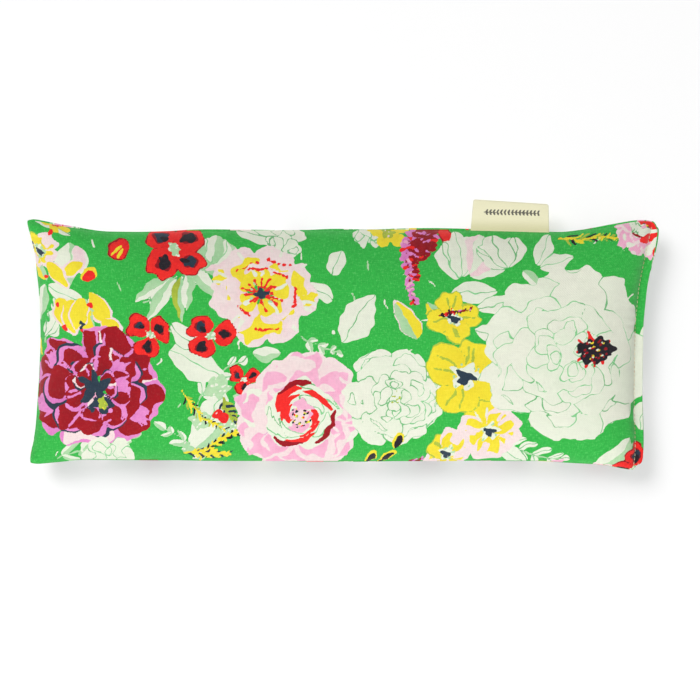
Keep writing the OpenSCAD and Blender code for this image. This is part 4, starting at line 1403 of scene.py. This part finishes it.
def print_material(name):
    g = Graph(name)
    x, y = g.attr("flat_x"), g.attr("flat_y")
    v = g.xyz(x, y)
    tone = g.attr("tone")
    brush = g.noise(v, 0.55, 3.0, 0.6, 0.4)
    grain = g.noise(g.xyz(g.math("MULTIPLY", x, 1.1), g.math("MULTIPLY", y, 1.5), 3.0), 1.0, 3.0, 0.7)
    tone = g.math("ADD", tone, g.math("MULTIPLY_ADD", brush, 0.9, -0.45), clamp=True)
    fields = []
    for k in range(4):
        n = g.noise(g.xyz(g.math("MULTIPLY", x, (0.5, 0.75, 0.5, 0.6)[k]), g.math("MULTIPLY", y, (0.75, 0.5, 0.5, 0.6)[k]), 5.0 * k + 1.0), 1.0, 4.0, 0.62)
        fields.append(g.math("MULTIPLY_ADD", n, 3.4, -1.7))
    col = low = None
    screens = {}
    for k, (nm, a, b, rag) in enumerate(INKS):
        s = g.attr("ink_" + nm)
        if k:
            s = g.math("MULTIPLY_ADD", fields[k % 4], rag, s)
        screens[nm] = s
        c = g.mix(tone, lin(a), lin(b))
        if col is None:
            col, low = c, s
        else:
            win = g.math("LESS_THAN", s, low)
            col = g.mix(win, col, c)
            low = g.math("MINIMUM", low, s)
    # fine drawn lines where two cream shapes meet
    a, b, c = (screens["cream_" + k] for k in "abc")
    lo1 = g.math("MINIMUM", g.math("MINIMUM", a, b), c)
    mid = g.math("MAXIMUM", g.math("MINIMUM", a, b), g.math("MINIMUM", g.math("MAXIMUM", a, b), c))
    thick = g.math("MULTIPLY_ADD", g.noise(g.xyz(x, y, 4.0), 0.35, 1.0), 0.27, 0.035)
    line = g.math("LESS_THAN", g.math("SUBTRACT", mid, lo1), g.math("MULTIPLY", thick, 2.0))
    line = g.math("MULTIPLY", line, g.math("LESS_THAN", lo1, g.math("ADD", low, 0.001)))
    dark = g.step(g.noise(g.xyz(x, y, 12.0), 0.06, 1.0), 0.45, 0.6)
    col = g.mix(g.math("MULTIPLY", line, 0.85), col, g.mix(dark, lin((0x6c, 0xd0, 0x80)), lin((0x46, 0xb4, 0x60))))
    h, tint = weave(g, x, y, 0.46)
    # the weave tint scales the print: slub colour plus painted shade of the threads
    col = g.scale_rgb(col, g.math("MULTIPLY_ADD", tint, 0.6, 0.276))
    # ink sits unevenly on the threads: the undyed fibre shows through in flecks
    inked = g.math("GREATER_THAN", lo1, g.math("ADD", low, 0.001))
    ground = g.math("LESS_THAN", screens["green"], g.math("ADD", low, 0.001))
    inked = g.math("MULTIPLY", inked, g.math("MULTIPLY_ADD", ground, 0.68, 0.32))
    t1 = g.noise(g.xyz(g.math("MULTIPLY", x, 0.55), g.math("MULTIPLY", y, 2.1), 21.0), 1.0, 2.0, 0.7)
    t2 = g.noise(g.xyz(g.math("MULTIPLY", x, 2.1), g.math("MULTIPLY", y, 0.55), 33.0), 1.0, 2.0, 0.7)
    t12 = g.math("SUBTRACT", g.math("ADD", t1, t2), 1.0)
    col = g.scale_rgb(col, g.math("MULTIPLY_ADD", g.math("MULTIPLY", t12, inked), 0.58, 0.985))
    fleck = g.math("MULTIPLY_ADD", t12, 0.40, -0.028, clamp=True)
    fleck = g.math("MINIMUM", fleck, 0.075)
    col = g.mix(g.math("MULTIPLY", fleck, inked), col, lin((0xd8, 0xe2, 0xcc)))
    dry = g.step(grain, 0.68, 0.76, 0.0, 0.10)
    col = g.mix(dry, col, lin((0xe8, 0xea, 0xd8)))
    # unprinted reverse of the cloth inside
    col = g.mix(g.attr("inside"), col, lin((0xe2, 0xe6, 0xd4)))
    # light that the cloth throws on its surroundings is nearly neutral
    lp = g.t.nodes.new("ShaderNodeLightPath")
    bw = g.t.nodes.new("ShaderNodeRGBToBW")
    g.link(col, bw.inputs[0])
    col = g.mix(g.math("MULTIPLY", lp.outputs["Is Diffuse Ray"], 0.75), col, bw.outputs[0])
    nrm = g.bump(h, 0.00009, 0.8)
    return g.finish(col, 0.88, nrm, Sheen_Weight=0.12, Sheen_Roughness=0.5, Specular_IOR_Level=0.22)


def plain_cloth(name, rgb, pitch, slub=1.0, rough=0.9, coord=1000.0):
    g = Graph(name)
    tc = g.t.nodes.new("ShaderNodeTexCoord")
    sp = g.t.nodes.new("ShaderNodeSeparateXYZ")
    g.link(tc.outputs["Object"], sp.inputs[0])
    x, y = g.math("MULTIPLY", sp.outputs[0], coord), g.math("MULTIPLY", sp.outputs[1], coord)
    h, tint = weave(g, x, y, pitch, slub)
    fleck = g.step(g.noise(g.xyz(x, y, 5.0), 1.8, 2.0), 0.68, 0.74, 0.0, 0.35)
    # the weave tint scales the muslin: slub colour plus painted shade of the threads
    col = g.mix(fleck, g.scale_rgb(g.mix(0.0, lin(rgb), lin(rgb)), tint), lin(tuple(int(c * 0.72) for c in rgb)))
    return g.finish(col, rough, g.bump(h, 0.00008, 0.7), Sheen_Weight=0.1)


def thread_material(name, rgb, rgb2):
    g = Graph(name)
    tc = g.t.nodes.new("ShaderNodeTexCoord")
    n = g.noise(tc.outputs["Object"], 2600.0, 2.0, 0.6)
    w = g.t.nodes.new("ShaderNodeTexWave")
    w.wave_type, w.bands_direction = "BANDS", "DIAGONAL"
    g.link(tc.outputs["Object"], w.inputs["Vector"])
    w.inputs["Scale"].default_value = 1500.0
    w.inputs["Distortion"].default_value = 1.0
    slow = g.noise(tc.outputs["Object"], 160.0, 1.0)
    col = g.mix(g.step(slow, 0.35, 0.65), lin(rgb), lin(rgb2))
    col = g.scale_rgb(col, g.math("MULTIPLY_ADD", n, 0.3, 0.85))
    h = g.math("ADD", w.outputs["Fac"], g.math("MULTIPLY", n, 0.5))
    return g.finish(col, 0.7, g.bump(h, 0.00005, 0.8), Sheen_Weight=0.3)


def ribbon_material(name):
    g = Graph(name)
    x, y = g.attr("rib_x"), g.attr("rib_y")
    rib = sine(g, y, 0.42)
    fine = sine(g, x, 0.34)
    n = g.noise(g.xyz(g.math("MULTIPLY", x, 0.3), g.math("MULTIPLY", y, 3.0)), 1.0, 2.0, 0.6)
    # painted shade: the ribbon darker near its base, where it comes out of the seam, and lighter from about 5.5 mm up
    base = g.mix(g.step(y, 0.2, 5.5), lin((0xcf, 0xcb, 0xa0)), lin((0xe5, 0xe1, 0xbe)))
    base = g.scale_rgb(base, g.math("MULTIPLY_ADD", n, 0.10, 0.95))
    # painted shade: raised ribs a little lighter, the grooves between them a little darker
    base = g.scale_rgb(base, g.math("MULTIPLY_ADD", rib, 0.018, 1.0))
    ink = g.math("LESS_THAN", g.math("ADD", g.attr("rib_ink"), g.math("MULTIPLY_ADD", g.noise(g.xyz(x, y), 5.0), 0.12, -0.06)), 0.0)
    col = g.mix(g.math("MULTIPLY", ink, 0.9), base, lin((0x3d, 0x3c, 0x3a)))
    h = g.math("ADD", g.math("MULTIPLY", rib, 0.5), g.math("MULTIPLY", fine, 0.25))
    h = g.math("ADD", h, g.math("MULTIPLY", ink, 0.8))
    return g.finish(col, 0.62, g.bump(h, 0.00006, 0.7), Sheen_Weight=0.25, Specular_IOR_Level=0.35)


def seed_material(name, a, b, c, rough, scale):
    g = Graph(name)
    tc = g.t.nodes.new("ShaderNodeTexCoord")
    cell = g.t.nodes.new("ShaderNodeTexVoronoi")
    cell.inputs["Scale"].default_value = scale
    g.link(tc.outputs["Object"], cell.inputs["Vector"])
    sep = g.t.nodes.new("ShaderNodeSeparateColor")
    g.link(cell.outputs["Color"], sep.inputs[0])
    col = g.mix(g.step(sep.outputs[0], 0.2, 0.9), lin(a), lin(b))
    col = g.mix(g.step(g.noise(tc.outputs["Object"], scale * 4, 2.0), 0.5, 0.7, 0, 0.6), col, lin(c))
    h = g.noise(tc.outputs["Object"], scale * 6, 3.0)
    return g.finish(col, rough, g.bump(h, 0.00015, 0.5))


M_print = print_material("printed_linen")
M_thread = thread_material("seam_thread", (0xea, 0xe6, 0xd6), (0xd8, 0xd2, 0xbe))
M_top = thread_material("topstitch_thread", (0xe0, 0xd6, 0xb4), (0xc4, 0xac, 0x88))
M_ribbon = ribbon_material("woven_ribbon")
M_muslin = plain_cloth("unbleached_muslin", (0xec, 0xe4, 0xd0), 0.5)
M_flax = seed_material("flax_seed", (0x7a, 0x43, 0x22), (0x52, 0x2a, 0x16), (0x9a, 0x5f, 0x35), 0.3, 420.0)
M_bud = seed_material("lavender_bud", (0x74, 0x68, 0x98), (0x4f, 0x48, 0x6c), (0x93, 0x93, 0x86), 0.75, 900.0)


def dress(ob, mat):
    ob.data.materials.clear()
    ob.data.materials.append(mat)


for ob in (front, back):
    dress(ob, M_print)
for ob in (top_seam, bottom_seam, left_seam, pouch_end, *pouch_long):
    dress(ob, M_thread)
for ob in (needle, bobbin):
    dress(ob, M_top)
dress(label, M_ribbon)
for ob in (pouch_front, pouch_back):
    dress(ob, M_muslin)
for ob in (fill_l, fill_r):
    dress(ob, M_flax)
for ob in (buds_l, buds_r):
    dress(ob, M_bud)

# ---------------------------------------------------------------- how the pieces move
for ob, nodes in ((front, ["cover_front"]), (back, ["cover_back"]), (top_seam, ["top_seam_thread"]), (bottom_seam, ["bottom_seam_thread"]),
                  (left_seam, ["left_seam_thread"]), (pouch_front, ["pouch_front"]), (pouch_back, ["pouch_back"]), (pouch_long[0], ["pouch_seam_thread"]),
                  (pouch_long[1], []), (pouch_long[2], []), (fill_r, ["flax_fill_right"]), (fill_l, ["flax_fill_left"]),
                  (buds_r, ["lavender_right"]), (buds_l, ["lavender_left"])):
    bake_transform(ob)
    if nodes:
        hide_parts(*nodes)
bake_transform(label)
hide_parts("label_tab", "label_seam_ends")
for ob, body, node in ((needle, "right_half", "closure_needle_thread"), (bobbin, "right_half", "closure_bobbin_thread"), (pouch_end, "right_half", "pouch_closing_thread")):
    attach(ob, body)
    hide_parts(node)

# ---------------------------------------------------------------- room, lights and camera
fm = bpy.data.meshes.new("floor")
fm.from_pydata([(-12, -12, 0), (12, -12, 0), (12, 12, 0), (-12, 12, 0)], [], [(0, 1, 2, 3)])
floor = bpy.data.objects.new("floor", fm)
bpy.context.scene.collection.objects.link(floor)
floor.location.z = -0.0002
g = Graph("pale_floor")
tc = g.t.nodes.new("ShaderNodeTexCoord")
fn = g.noise(tc.outputs["Object"], 40.0, 2.0)
far = g.t.nodes.new("ShaderNodeVectorMath")
far.operation = "LENGTH"
g.link(tc.outputs["Object"], far.inputs[0])
# painted light: the floor glows white from 0.35 m out, growing towards 3 m, so that it fades into the white backdrop
g.feed(g.p.inputs["Emission Color"], (1.0, 1.0, 1.0, 1.0))
g.feed(g.p.inputs["Emission Strength"], g.step(far.outputs["Value"], 0.35, 3.0, 0.0, 0.95))
floor.data.materials.append(g.finish(g.mix(g.math("MULTIPLY", fn, 0.02), (0.905, 0.905, 0.905, 1), (0.89, 0.89, 0.89, 1)), 0.9, None, Specular_IOR_Level=0.1))


def area(name, loc, target, size, power, shadow=True, size_y=None):
    L = bpy.data.lights.new(name, "AREA")
    L.energy, L.size = power, size
    if size_y:
        L.shape, L.size_y = "RECTANGLE", size_y
    L.use_shadow = shadow
    o = bpy.data.objects.new(name, L)
    bpy.context.scene.collection.objects.link(o)
    o.location = loc
    o.rotation_euler = (mathutils.Vector(target) - mathutils.Vector(loc)).to_track_quat("-Z", "Y").to_euler()
    return o


area("front_key", (0.1, -2.2, 1.75), (0, 0, 0), 1.5, 58.0, False)
area("top_left", (-1.55, 1.65, 2.25), (0, 0, 0), 1.62, 52.0, True)
area("overhead", (0.0, 0.0, 3.0), (0, 0, 0), 2.5, 6.0, True)
world = bpy.data.worlds.new("studio")
bpy.context.scene.world = world
world.use_nodes = True
wt = world.node_tree
sky = wt.nodes["Background"]
path = wt.nodes.new("ShaderNodeLightPath")
seen = wt.nodes.new("ShaderNodeMapRange")
seen.inputs[3].default_value, seen.inputs[4].default_value = 0.315, 1.0
wt.links.new(path.outputs["Is Camera Ray"], seen.inputs[0])
sky.inputs[0].default_value = (1, 1, 1, 1)
wt.links.new(seen.outputs[0], sky.inputs[1])
vs = bpy.context.scene.view_settings
vs.view_transform = "Standard"
vs.look = "None"
vs.exposure = 0.0

cam = bpy.data.cameras.new("camera")
cam.lens, cam.sensor_width = 100, 36
cam.clip_start, cam.clip_end = 0.01, 20
camera = bpy.data.objects.new("camera", cam)
bpy.context.scene.collection.objects.link(camera)
camera.location = (0.0037, -0.0018, (SEAM_Z + 277.9 * 100 / 36) * MM)
bpy.context.scene.camera = camera
